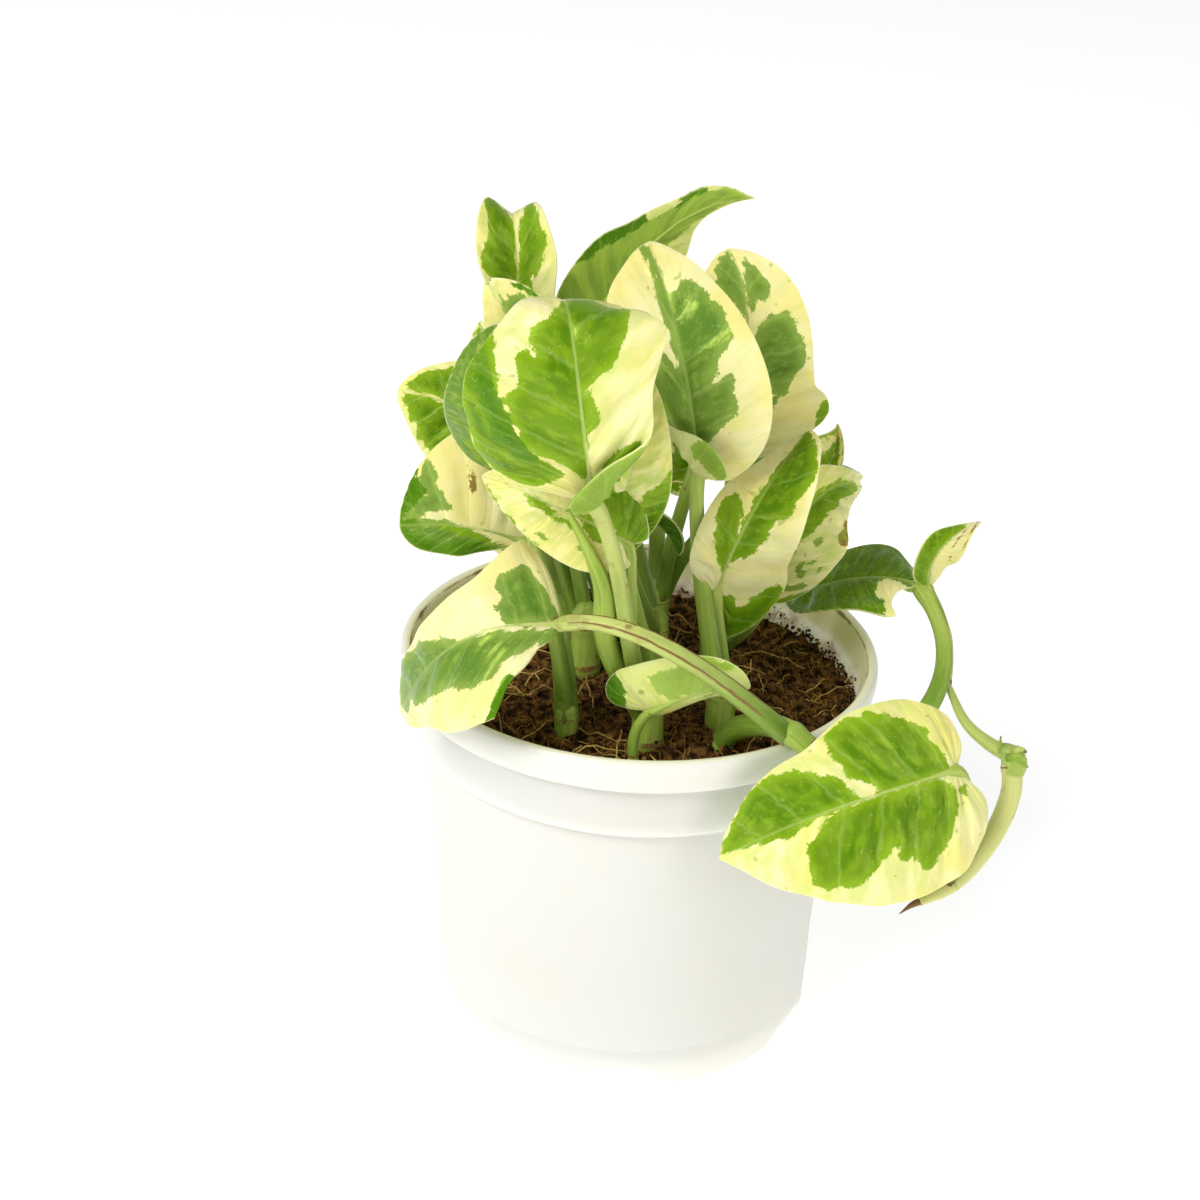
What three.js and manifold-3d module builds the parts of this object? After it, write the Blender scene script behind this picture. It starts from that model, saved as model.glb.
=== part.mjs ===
// A potted pothos with cream and green leaves, in millimetres, +Z up.
//
// The plant is built round the pot's own axis and then moved as a whole, so that the origin is the
// middle of its footprint on the surface that it stands on. Each leafy shoot is one solid: a stem in
// a plain hole in the soil, its leaf stalks, and its heart-shaped blades.

import * as THREE from 'three';
import { mergeVertices } from 'three/addons/utils/BufferGeometryUtils.js';
import Module from 'manifold-3d';

const wasm = await Module();
wasm.setup();

// ---------------------------------------------------------------- driving dimensions

const POT = {
  height: 108.6,
  rimRadius: 65,
  bandRadius: 63.6,
  bandBottom: 99.4,
  shoulderRadius: 60.1,
  shoulderBottom: 84.2,
  bodyTopRadius: 57.6,
  bodyBaseRadius: 53.4,
  bodyBaseHeight: 24,
  footRadius: 53.1,
  footHeight: 11.3,
  wall: 1.6,
  floorBottom: 3.8,
  floorTop: 5.6,
  segments: 48,
};
const FOOT_NOTCH = { count: 6, first: -86, bottomWidth: 27, topWidth: 11, height: 3.6 };
const DRAIN_HOLE = { count: 6, circle: 34, radius: 4 };
const SOIL = { level: 98.6, dip: 4.5, edgeGap: 0.35, bump: 0.8, segments: 36 };
const STEM_HOLE_GAP = 0.4;
const STEM_FOOT = 78;
const BLADE = { thickness: 0.8, rows: 9, columns: 3 };
const SMALL_BLADE = { width: 33, columns: 2 };
const STALK_SIDES = 5;
const VEIN_SWEEP = 1.2;
const NO_AREA = 1e-7;

// Half of a flat leaf, from the notch where the stalk joins, round the lobe and on to the tip:
// share of the half width, share of the length.
const HALF_OUTLINE = [
  [0, 0], [0.2, -0.06], [0.38, -0.078], [0.6, -0.02], [0.82, 0.07], [0.96, 0.19], [1, 0.31],
  [0.96, 0.43], [0.85, 0.56], [0.66, 0.71], [0.4, 0.86], [0.14, 0.965], [0, 1],
];
const LOBE_SHARE = 0.33;
const LOBE_REACH = 0.2;
const FLAP_RADIUS = 1.2;

// Halves that grew unevenly have an outline of their own.
const OUTLINES = {
  frontLeft: [[0, 0], [0.2, -0.015], [0.4, -0.02], [0.62, 0.01], [0.85, 0.085], [0.97, 0.19], [1.02, 0.31],
    [1, 0.42], [0.93, 0.5], [0.74, 0.58], [0.52, 0.645], [0.34, 0.71], [0.22, 0.79], [0.1, 0.9], [0, 1]],
  frontRight: [[0, 0], [0.17, -0.07], [0.43, -0.07], [0.58, -0.02], [0.64, 0.05], [0.69, 0.15],
    [0.73, 0.24], [0.76, 0.31], [0.8, 0.38], [0.92, 0.46], [1, 0.54], [0.86, 0.61], [0.66, 0.71],
    [0.4, 0.86], [0.14, 0.965], [0, 1]],
  tallLeft: [[0, 0], [0.2, -0.08], [0.45, -0.115], [0.62, -0.06], [0.66, 0.03], [0.6, 0.12], [0.5, 0.2],
    [0.52, 0.33], [0.7, 0.45], [0.82, 0.57], [0.8, 0.7], [0.68, 0.81], [0.44, 0.9], [0.18, 0.97], [0, 1]],
  bladeLobe: [[0, 0], [0.1, -0.065], [0.24, -0.105], [0.48, -0.09], [0.75, -0.055], [1, 0.01], [1.17, 0.09],
    [1.14, 0.16], [1, 0.26], [0.94, 0.38], [0.92, 0.5], [0.89, 0.6], [0.84, 0.7], [0.68, 0.81],
    [0.45, 0.91], [0.18, 0.98], [0, 1]],
  bluntLeft: [[0, 0], [0.2, -0.06], [0.38, -0.078], [0.6, -0.02], [0.82, 0.07], [0.96, 0.19], [1, 0.31],
    [0.98, 0.45], [0.9, 0.6], [0.8, 0.75], [0.62, 0.86], [0.42, 0.94], [0.2, 0.99], [0, 1]],
  lobedRight: [[0, 0], [0.15, -0.04], [0.3, -0.05], [0.6, 0], [0.95, 0.08], [1.2, 0.17], [1.15, 0.26],
    [0.95, 0.34], [0.9, 0.45], [0.87, 0.56], [0.8, 0.68], [0.62, 0.82], [0.3, 0.93], [0, 1]],
  lowLeft: [[0, 0], [0.16, -0.06], [0.34, -0.11], [0.55, -0.1], [0.77, -0.03], [0.93, 0.06], [1, 0.16],
    [1.03, 0.27], [1.02, 0.38], [0.97, 0.49], [0.85, 0.6], [0.72, 0.69], [0.55, 0.79], [0.34, 0.88],
    [0.13, 0.95], [0, 1]],
  lowRight: [[0, 0], [0.2, -0.04], [0.43, -0.035], [0.62, -0.005], [0.8, 0.07], [0.93, 0.15], [0.98, 0.25],
    [0.96, 0.36], [0.86, 0.44], [0.73, 0.53], [0.68, 0.62], [0.58, 0.72], [0.42, 0.82], [0.2, 0.93], [0, 1]],
  rimLeft: [[0, 0], [0.2, -0.05], [0.4, -0.05], [0.6, 0], [0.75, 0.08], [0.85, 0.2], [0.9, 0.3],
    [0.9, 0.42], [0.87, 0.53], [0.79, 0.62], [0.7, 0.68], [0.52, 0.76], [0.42, 0.84], [0.25, 0.93],
    [0.1, 0.98], [0, 1]],
  rimRight: [[0, 0], [0.2, -0.01], [0.5, 0], [0.8, 0.02], [1, 0.045], [1.12, 0.09], [1.08, 0.14], [0.93, 0.2],
    [0.7, 0.29], [0.6, 0.39], [0.54, 0.49], [0.5, 0.6], [0.43, 0.7], [0.37, 0.8], [0.24, 0.91], [0, 1]],
  sideLeft: [[0, 0], [0.1, 0.02], [0.25, 0.08], [0.4, 0.17], [0.57, 0.27], [0.72, 0.38], [0.84, 0.5],
    [0.87, 0.62], [0.85, 0.74], [0.72, 0.86], [0.45, 0.95], [0.2, 0.99], [0, 1]],
  hookLeft: [[0, 0], [0.12, 0.03], [0.25, 0.08], [0.42, 0.12], [0.65, 0.14], [0.92, 0.14], [1.12, 0.12],
    [1.18, 0.16], [1.1, 0.22], [0.96, 0.3], [0.87, 0.4], [0.8, 0.55], [0.68, 0.7], [0.45, 0.85],
    [0.18, 0.94], [0, 1]],
  bluntBack: [[0, 0], [0.2, -0.06], [0.38, -0.078], [0.6, -0.02], [0.82, 0.07], [0.96, 0.19], [1, 0.31],
    [0.96, 0.43], [0.92, 0.55], [0.88, 0.64], [0.78, 0.74], [0.6, 0.85], [0.38, 0.94], [0.15, 1], [0, 1]],
  archLeft: [[0, 0], [0.3, -0.05], [0.7, 0], [1, 0.15], [1.15, 0.35], [1.5, 0.5], [1.42, 0.57], [1.1, 0.63],
    [0.75, 0.68], [0.45, 0.75], [0.27, 0.85], [0.12, 0.93], [0, 1]],
  archRight: [[0, 0], [0.3, -0.06], [0.62, -0.06], [0.86, 0], [0.98, 0.08], [1.02, 0.18], [1, 0.28],
    [0.9, 0.385], [0.68, 0.48], [0.55, 0.58], [0.44, 0.68], [0.43, 0.78], [0.28, 0.88], [0.1, 0.95],
    [0, 1]],
  backLeft: [[0, 0], [0.15, -0.04], [0.3, -0.05], [0.42, 0], [0.48, 0.1], [0.5, 0.22], [0.5, 0.35],
    [0.54, 0.48], [0.64, 0.6], [0.67, 0.7], [0.62, 0.8], [0.46, 0.89], [0.2, 0.97], [0, 1]],
  backRight: [[0, 0], [0.15, -0.04], [0.3, -0.05], [0.45, 0], [0.55, 0.1], [0.6, 0.22], [0.64, 0.35],
    [0.7, 0.48], [0.74, 0.6], [0.67, 0.7], [0.54, 0.8], [0.36, 0.89], [0.14, 0.965], [0, 1]],
  slimLeft: [[0, 0], [0.2, -0.06], [0.38, -0.078], [0.6, -0.02], [0.82, 0.07], [0.96, 0.19], [1, 0.31],
    [0.9, 0.45], [0.7, 0.6], [0.5, 0.72], [0.35, 0.82], [0.25, 0.92], [0, 1]],
  slimRight: [[0, 0], [0.15, 0], [0.35, 0.02], [0.55, 0.07], [0.72, 0.15], [0.85, 0.25], [0.95, 0.37],
    [1, 0.48], [0.9, 0.6], [0.66, 0.74], [0.4, 0.86], [0.14, 0.965], [0, 1]],
  bulgedLeft: [[0, 0], [0.2, -0.06], [0.38, -0.078], [0.6, -0.02], [0.82, 0.07], [0.96, 0.19], [1.05, 0.35],
    [1.1, 0.5], [1.15, 0.65], [1.1, 0.76], [0.8, 0.84], [0.35, 0.9], [0.1, 0.95], [0, 1]],
  backLobe: [[0, 0], [0.25, -0.2], [0.6, -0.34], [0.95, -0.3], [1.12, -0.12], [1.12, 0.12], [1.06, 0.33],
    [0.95, 0.53], [0.75, 0.73], [0.45, 0.89], [0.15, 0.98], [0, 1]],
  wideTip: [[0, 0], [0.2, -0.03], [0.35, 0.02], [0.45, 0.1], [0.52, 0.2], [0.6, 0.32], [0.75, 0.42],
    [1.05, 0.52], [1.3, 0.62], [1.3, 0.72], [1.05, 0.84], [0.55, 0.94], [0, 1]],
};

// The shoots. `foot` is where a stem enters the soil and `girth` its radius there. Each leaf has a
// `stalk` (three control points, then the blade's heel), its radii `taper`, and a midrib `rib` (four
// control points, heel to tip). `side` points from the midrib to the blade's right half, and `turn`
// is its direction at the tip. Pairs are for the left and the right half: share of the width
// `halves`, rise at the midrib `fold` and further bend to the edge `cup` in degrees, longer lobes
// `heart`, the half's own `outline`, and a lobe folded over the blade `flap` [start angle from the
// midrib, bend angle]. `centre` moves the fan of the lobe's rows up the midrib, as a share of its length.
const SHOOTS = {
  front_shoot: {
    foot: [3, -37], girth: 4.6, top: 116,
    leaves: [
      { stalk: [[4, -37, 106], [-4, -42, 125], [-4, -46, 155]], taper: [2.6, 1.8],
        rib: [[-13, -54, 174], [-16, -68, 198], [-21, -64, 244], [-24, -30, 208]],
        side: [1, 0, 0], width: 48, halves: [1.15, 0.92], fold: [6, 2], cup: [-30, -25],
        heart: [-0.3, 0], outline: ['frontLeft', 'frontRight'], flap: [null, [29, 160]] },
      { stalk: [[2, -39, 110], [-4, -40, 124], [-2, -38, 140]], taper: [2.2, 1.5],
        rib: [[-4, -42, 157], [-13, -46, 165], [-26, -42, 168], [-41, -34, 170]],
        side: [0.3, 0.3, 1], width: 24, fold: [5, 5], cup: [-8, -8] },
      { stalk: [[5, -35, 106], [4, -31, 120], [-4, -27, 138]], taper: [2.2, 1.5],
        rib: [[-7, -36, 159], [-5, -44, 175], [-2, -44, 188], [-2, -36, 200]],
        side: [1, 0, 0.1], width: 28, halves: [1, 0.76], fold: [8, 8], cup: [-10, -10],
        heart: [0, 0.5] },
    ],
    buds: [{ path: [[1, -38, 108], [-8, -40, 128], [-10, -46, 148], [-19, -50, 169]],
      radii: [2.6, 3, 0.7] }],
  },
  right_shoot: {
    foot: [22, -24], girth: 4.4, top: 112,
    leaves: [
      { stalk: [[22, -24, 104], [17, -24, 128], [12, -22, 150]], taper: [2.7, 1.7],
        rib: [[12, -24, 172], [10, -31, 191], [4, -27, 213], [-3, -9, 224]],
        side: [1, 0, 0], width: 40, fold: [8, 8], cup: [-15, -15],
        outline: ['tallLeft', null], flap: [[24, 160], null] },
      { stalk: [[24, -23, 104], [23, -20, 112], [20, -18, 123]], taper: [2, 1.5],
        rib: [[19, -22, 136], [23, -30, 157], [30, -26, 169], [40, -8, 176]],
        side: [0.9, 0, 0.45], width: 30, halves: [0.72, 1], fold: [10, 10], cup: [-15, -15],
        heart: [-0.5, 0.8], outline: [null, 'bladeLobe'] },
    ],
  },
  left_back_shoot: {
    foot: [-15, 1], girth: 4.6, top: 118,
    leaves: [
      { stalk: [[-16, 2, 110], [-23, 10, 127], [-32, 14, 160]], taper: [2.2, 1.5],
        rib: [[-35, 10, 187], [-35, 2, 201], [-37, 0, 230], [-39, 16, 221]],
        side: [1, 0, 0], width: 30, halves: [1.12, 1.1], fold: [34, 34], cup: [-5, -5],
        outline: ['backLeft', 'backRight'] },
      { stalk: [[-14, 1, 110], [-17, 4, 126], [-25, 9, 153]], taper: [2.2, 1.5],
        rib: [[-29, 2, 178], [-32, -6, 193], [-38, -6, 203], [-44, 0, 209]],
        side: [0.8, -0.1, 0.5], width: 26, halves: [0.78, 1.35], fold: [10, 10], cup: [0, 0] },
      { stalk: [[-17, 3, 108], [-25, 12, 114], [-29, 16, 142]], taper: [2.2, 1.5],
        rib: [[-33, 14, 160], [-45, 12, 166], [-56, 12, 173], [-68, 16, 172]],
        side: [0, 0.2, 1], width: 36, halves: [1, 0.88], fold: [3, 3], cup: [-8, -8],
        outline: ['bluntBack', null] },
      { stalk: [[-17, 3, 112], [-27, 16, 118], [-35, 20, 149]], taper: [1.8, 1.2],
        rib: [[-41, 18, 170], [-42, 12, 180], [-45, 10, 189], [-46, 12, 194]],
        side: [0.8, -0.4, 0.2], width: 16, fold: [20, 20], cup: [0, 0] },
    ],
  },
  left_shoot: {
    foot: [-18, -33], girth: 3.6, top: 106,
    leaves: [
      { stalk: [[-18, -33, 102], [-19, -30, 123], [-25, -14, 134]], taper: [3.2, 1.8],
        rib: [[-32, -9, 141], [-41, -15, 147], [-50, -18, 150], [-64, -14, 146]],
        side: [0, 0.25, 1], width: 44, halves: [0.42, 1.4], fold: [3, 3], cup: [-15, -10],
        outline: ['sideLeft', null] },
      { stalk: [[-18, -33, 104], [-20, -34, 125], [-27, -30, 148]], taper: [2.2, 1.5],
        rib: [[-33, -25, 168], [-38, -34, 182], [-42, -35, 198], [-39, -24, 206]],
        side: [0.9, -0.4, 0.1], width: 28, halves: [1.16, 1], fold: [5, 5], cup: [-20, -20] },
    ],
  },
  top_shoot: {
    foot: [4, 4], girth: 4, top: 116,
    leaves: [
      { stalk: [[4, 4, 106], [0, 8, 130], [-14, 9, 168]], taper: [2.6, 1.7],
        rib: [[-18, 6, 195], [-10, 10, 210], [3, 12, 231], [23, 18, 229]],
        side: [-0.5, -0.45, 0.7], width: 28, halves: [0.5, 1], fold: [0, 0], cup: [-10, 10],
        outline: ['archLeft', 'archRight'] },
      { stalk: [[5, 3, 110], [2, 0, 118], [-6, -6, 133]], taper: [1.8, 1.2],
        rib: [[-4, -10, 148], [-2, -14, 153], [5, -14, 153], [9, -12, 141]],
        side: [0.2, -0.9, 0.5], width: 18, fold: [10, 10], cup: [0, 0] },
      { stalk: [[3, 5, 112], [0, 6, 136], [-10, 28, 140]], taper: [2.2, 1.5],
        rib: [[-12, 32, 150], [-14, 25, 168], [-18, 36, 186], [-24, 52, 180]],
        side: [-1, 0, 0], width: 34, fold: [6, 6], cup: [-12, -12] },
    ],
  },
  right_back_shoot: {
    foot: [20, 13], girth: 4, top: 110,
    leaves: [
      { stalk: [[20, 13, 103], [22, 14, 116], [22, 16, 145]], taper: [3, 1.8],
        rib: [[23, 12, 164], [25, 2, 185], [24, -2, 211], [17, 8, 218]],
        side: [1, 0.1, 0.1], width: 38, fold: [5, 5], cup: [-10, -12],
        heart: [0, 0.3], outline: ['bluntLeft', 'lobedRight'] },
      { stalk: [[22, 12, 102], [26, 6, 108], [30, -3, 116]], taper: [2, 1.5],
        rib: [[33, -8, 127], [36, -16, 146], [41, -18, 170], [56, 2, 157]],
        side: [0.9, 0, 0.1], turn: [0.2, -0.3, -1], width: 28, fold: [5, 5], cup: [-10, -10],
        outline: ['slimLeft', 'slimRight'] },
      { stalk: [[22, 15, 105], [25, 18, 108], [39, 24, 124]], taper: [1.8, 1.2],
        rib: [[41, 22, 143], [44, 18, 151], [51, 18, 153], [50, 24, 166]],
        side: [0.8, 0, 0.3], width: 16, halves: [1, 0.65], fold: [35, 35], cup: [0, 0],
        outline: ['bulgedLeft', null] },
    ],
  },
  back_left_shoot: {
    foot: [-10, 18], girth: 3.8, top: 112,
    leaves: [
      { stalk: [[-10, 18, 104], [-10, 22, 130], [-16, 26, 140]], taper: [2.8, 1.7],
        rib: [[-24, 32, 140], [-34, 44, 152], [-46, 54, 152], [-56, 66, 136]],
        side: [0.8, 0.6, 0], width: 36, fold: [6, 6], cup: [-12, -12] },
      { stalk: [[-11, 17, 108], [-12, 20, 120], [-18, 24, 122]], taper: [2.2, 1.5],
        rib: [[-24, 28, 116], [-32, 38, 126], [-42, 50, 124], [-52, 62, 108]],
        side: [0.8, 0.6, 0], width: 30, fold: [6, 6], cup: [-12, -12] },
    ],
  },
  back_shoot: {
    foot: [4, 22], girth: 4.2, top: 116,
    leaves: [
      { stalk: [[4, 22, 104], [4, 24, 130], [2, 34, 138]], taper: [2.8, 1.7],
        rib: [[2, 42, 138], [2, 52, 150], [4, 66, 150], [4, 80, 130]],
        side: [1, 0, 0], width: 38, fold: [6, 6], cup: [-12, -12] },
      { stalk: [[5, 22, 108], [10, 24, 130], [22, 28, 136]], taper: [2.2, 1.5],
        rib: [[30, 34, 138], [38, 42, 148], [50, 52, 148], [60, 64, 132]],
        side: [0.7, -0.7, 0], width: 32, fold: [6, 6], cup: [-12, -12] },
      { stalk: [[5, 21, 112], [8, 20, 140], [14, 26, 150]], taper: [2.2, 1.5],
        rib: [[14, 32, 162], [16, 26, 178], [20, 40, 196], [24, 54, 186]],
        side: [-1, 0.2, 0], width: 32, fold: [6, 6], cup: [-12, -12] },
    ],
  },
  low_leaf: {
    foot: [0, -48], girth: 1.6, top: 102,
    leaves: [
      { stalk: [[0, -48, 101], [-1, -48, 107], [1, -47, 111]], taper: [1.5, 1.2],
        rib: [[4, -49, 115], [9, -53, 120], [17, -54, 126], [28, -51, 124]],
        side: [-0.4, -0.3, 0.9], width: 26, halves: [0.3, 0.9], fold: [0, 0], cup: [30, 35],
        outline: [null, 'backLobe'] },
    ],
  },
  trailing_vine: {
    foot: [23, -37], girth: 3.4, top: 100,
    leaves: [
      { stalk: [[38, -53, 112], [12, -67, 142], [-7, -62, 149]], taper: [2.7, 1.7],
        rib: [[-20, -52, 139], [-32, -62, 145], [-50, -64, 142], [-60, -42, 106]],
        side: [-0.3, 0.6, 0.75], width: 46, halves: [1, 0.85], fold: [3, 3], cup: [-10, -12],
        outline: ['rimLeft', 'rimRight'], flap: [[36, -150], null] },
      { stalk: [[81, -55, 69], [84, -50, 77], [90, -46, 92]], taper: [2.6, 1.8],
        rib: [[80, -58, 108], [62, -72, 109], [41, -74, 102], [23, -66, 83]],
        side: [-0.3, 0.35, 0.9], width: 54, halves: [1, 0.82], fold: [5, 5], cup: [-12, -12],
        outline: ['lowLeft', 'lowRight'] },
      { stalk: [[74, -34, 110], [81, -29, 119], [82, -12, 124]], taper: [2.6, 1.8],
        rib: [[73, 0, 130], [65, -2, 135], [52, 4, 130], [39, 16, 116]],
        side: [0, 1, 0.15], width: 38, halves: [0.75, 0.85], fold: [5, 5], cup: [-15, -15],
        outline: ['hookLeft', null], centre: 0.2 },
      { stalk: [[81, -12, 123], [80, -6, 127], [77, -2, 128]], taper: [1.6, 1.4],
        rib: [[76, 0, 130], [75, -2, 139], [78, -3, 146], [88, 4, 148]],
        side: [0.8, -0.2, 0.5], width: 13, halves: [0.8, 0.95], fold: [30, 5], cup: [0, 0],
        heart: [-0.5, -0.5], outline: [null, 'wideTip'] },
    ],
    runs: [
      { path: [[23, -37, 101], [26, -40, 106], [33, -46, 111], [39, -53, 113], [47, -57, 109],
        [58, -52, 106], [68, -43, 107], [74, -34, 110]], radii: [3.2, 3.1, 2.6] },
      { path: [[80, -28, 118], [86, -32, 107], [92, -35, 103], [98, -37, 101]],
        radii: [1.8, 1.7, 2.6] },
      { path: [[98, -37, 101], [99, -41, 93], [97, -45, 83], [92, -49, 75], [86, -53, 71],
        [81, -55, 69], [74, -57, 67]], radii: [3.4, 3.2, 1.2] },
    ],
  },
};

// ---------------------------------------------------------------- solids and meshes

const vector = (p) => new THREE.Vector3(...p);

/** A solid from a closed geometry, with its shared vertices merged and slivers dropped. */
function solidOf(geometry) {
  const bare = geometry.clone();
  for (const name of Object.keys(bare.attributes)) if (name !== 'position') bare.deleteAttribute(name);
  const merged = mergeVertices(bare, 1e-4);
  const index = Array.from(merged.index.array);
  const kept = [];
  for (let i = 0; i < index.length; i += 3) {
    const [a, b, c] = index.slice(i, i + 3);
    if (a !== b && b !== c && c !== a) kept.push(a, b, c);
  }
  return new wasm.Manifold(new wasm.Mesh({
    numProp: 3,
    vertProperties: Float32Array.from(merged.attributes.position.array),
    triVerts: Uint32Array.from(kept),
  }));
}

function geometryOf(solid) {
  const mesh = solid.getMesh();
  const geometry = new THREE.BufferGeometry();
  geometry.setAttribute('position', new THREE.BufferAttribute(mesh.vertProperties, 3));
  geometry.setIndex(new THREE.BufferAttribute(mesh.triVerts, 1));
  return geometry;
}

function geometryFrom(points, triangles) {
  const geometry = new THREE.BufferGeometry();
  geometry.setAttribute('position', new THREE.Float32BufferAttribute(points.flatMap((p) => p.toArray()), 3));
  geometry.setIndex(triangles);
  return geometry;
}

/** A closed round rod along points, with a radius at each of them. */
function rod(points, radii, sides = STALK_SIDES) {
  const rings = [];
  let across = new THREE.Vector3(1, 0.3, 0.1);
  points.forEach((point, i) => {
    const ahead = points[Math.min(i + 1, points.length - 1)];
    const behind = points[Math.max(i - 1, 0)];
    const along = ahead.clone().sub(behind).normalize();
    across = across.clone().addScaledVector(along, -across.dot(along)).normalize();
    const up = new THREE.Vector3().crossVectors(along, across);
    for (let k = 0; k < sides; k++) {
      const angle = (2 * Math.PI * k) / sides;
      rings.push(point.clone()
        .addScaledVector(across, radii[i] * Math.cos(angle))
        .addScaledVector(up, radii[i] * Math.sin(angle)));
    }
  });
  const triangles = [];
  const last = (points.length - 1) * sides;
  for (let i = 0; i < points.length - 1; i++) {
    for (let k = 0; k < sides; k++) {
      const a = i * sides + k;
      const b = i * sides + ((k + 1) % sides);
      triangles.push(a, b, b + sides, a, b + sides, a + sides);
    }
  }
  for (let k = 1; k < sides - 1; k++) triangles.push(0, k + 1, k, last, last + k, last + k + 1);
  return solidOf(geometryFrom(rings, triangles));
}

// ---------------------------------------------------------------- leaves

/** One half of a flat blade: its outline as a curve, and the share of it that the lobe takes. */
function halfShape(leaf, half, length) {
  const name = (leaf.outline ?? [])[half];
  const points = name ? OUTLINES[name] : HALF_OUTLINE;
  const curve = new THREE.CatmullRomCurve3(points.map(([x, y]) => vector([x, y, 0])), false, 'catmullrom', 0.5);
  const flap = (leaf.flap ?? [])[half];
  let lobe = LOBE_SHARE;
  if (flap) {
    const slope = Math.tan(THREE.MathUtils.degToRad(flap[0]));
    for (let k = 0; k < 0.7; k += 0.002) {
      const edge = curve.getPoint(k);
      if (edge.x * halfWidth(leaf, half) > edge.y * length * slope) lobe = k;
    }
  }
  return { curve, lobe };
}

/** Flat points and triangles of a whole blade, in shares of half width and of length. */
function flatBlade(leaf, length, rows, columns) {
  const points = [];
  const known = new Map();
  const pointAt = (x, y) => {
    const key = `${Math.round(x * 1e5)},${Math.round(y * 1e5)}`;
    if (!known.has(key)) {
      known.set(key, points.length);
      points.push([x, y]);
    }
    return known.get(key);
  };
  const lobeRows = Math.round(rows * LOBE_SHARE);
  const centre = leaf.centre ?? 0;
  const triangles = [];
  const addTriangle = (a, b, c) => {
    const [p, q, r] = [points[a], points[b], points[c]];
    const area = (q[0] - p[0]) * (r[1] - p[1]) - (q[1] - p[1]) * (r[0] - p[0]);
    if (Math.abs(area) < NO_AREA) return;
    triangles.push(...(area > 0 ? [a, b, c] : [a, c, b]));
  };
  [-1, 1].forEach((hand, half) => {
    const { curve, lobe } = halfShape(leaf, half, length);
    // A row's corners run from the midrib, or from the heel in the lobe, out to the edge.
    const cornerAt = (row, column) => {
      const past = Math.max(0, (row - lobeRows) / (rows - lobeRows));
      const start = centre * Math.min(1, row / lobeRows) + (1 - centre) * past ** VEIN_SWEEP;
      const edge = curve.getPoint(row < lobeRows ? (lobe * row) / lobeRows : lobe + (1 - lobe) * past);
      const share = column / columns;
      return pointAt(hand * edge.x * share, start + (edge.y - start) * share);
    };
    for (let row = 0; row < rows; row++) {
      for (let column = 0; column < columns; column++) {
        const [a, b] = [cornerAt(row, column), cornerAt(row, column + 1)];
        const [c, d] = [cornerAt(row + 1, column + 1), cornerAt(row + 1, column)];
        addTriangle(a, b, c);
        addTriangle(a, c, d);
      }
    }
  });
  return { points, triangles };
}

/** Rolls the part of a half blade beyond a ray from the heel over it, or under it if the bend is negative. */
function foldLobe(x, y, [startAngle, bendAngle]) {
  const start = THREE.MathUtils.degToRad(startAngle);
  const most = THREE.MathUtils.degToRad(Math.abs(bendAngle));
  const along = x * Math.sin(start) + y * Math.cos(start);
  const past = x * Math.cos(start) - y * Math.sin(start);
  if (past <= 0) return [x, y, 0];
  const bend = Math.min(past / FLAP_RADIUS, most);
  const rest = past - FLAP_RADIUS * bend;
  const out = FLAP_RADIUS * Math.sin(bend) + rest * Math.cos(bend);
  const lift = FLAP_RADIUS * (1 - Math.cos(bend)) + rest * Math.sin(bend);
  return [along * Math.sin(start) + out * Math.cos(start), along * Math.cos(start) - out * Math.sin(start),
    Math.sign(bendAngle) * lift];
}

const halfWidth = (leaf, half) => (leaf.width / 2) * (leaf.halves ?? [1, 1])[half];

/** Where a flat point of a blade lies on the curved leaf. */
function bladePoint(leaf, rib, length, u, v) {
  const half = u < 0 ? 0 : 1;
  const hand = u < 0 ? -1 : 1;
  const wide = halfWidth(leaf, half);
  const heart = (leaf.heart ?? [0, 0])[half] * Math.min(1, Math.abs(u) * 2.5);
  const share = v < LOBE_REACH ? LOBE_REACH - (LOBE_REACH - v) * (1 + heart) : v;
  let [x, y, lift] = [Math.abs(u) * wide, share * length, 0];
  const flap = (leaf.flap ?? [null, null])[half];
  if (flap) [x, y, lift] = foldLobe(x, y, flap);

  const along = THREE.MathUtils.clamp(y / length, 0, 1);
  const tangent = rib.getTangentAt(along);
  const point = rib.getPointAt(along).addScaledVector(tangent, y - along * length);
  const across = vector(leaf.side).normalize().lerp(vector(leaf.turn ?? leaf.side).normalize(), along);
  across.addScaledVector(tangent, -across.dot(tangent)).normalize();
  const face = new THREE.Vector3().crossVectors(across, tangent);

  const rise = THREE.MathUtils.degToRad(leaf.fold[half]);
  const bend = THREE.MathUtils.degToRad(leaf.cup[half]) || 1e-3;
  const reach = Math.abs(x) / wide;
  const out = (wide * (Math.sin(rise + bend * reach) - Math.sin(rise))) / bend;
  const up = (wide * (Math.cos(rise) - Math.cos(rise + bend * reach))) / bend;
  return point.addScaledVector(across, hand * Math.sign(x) * out).addScaledVector(face, up + lift);
}

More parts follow.
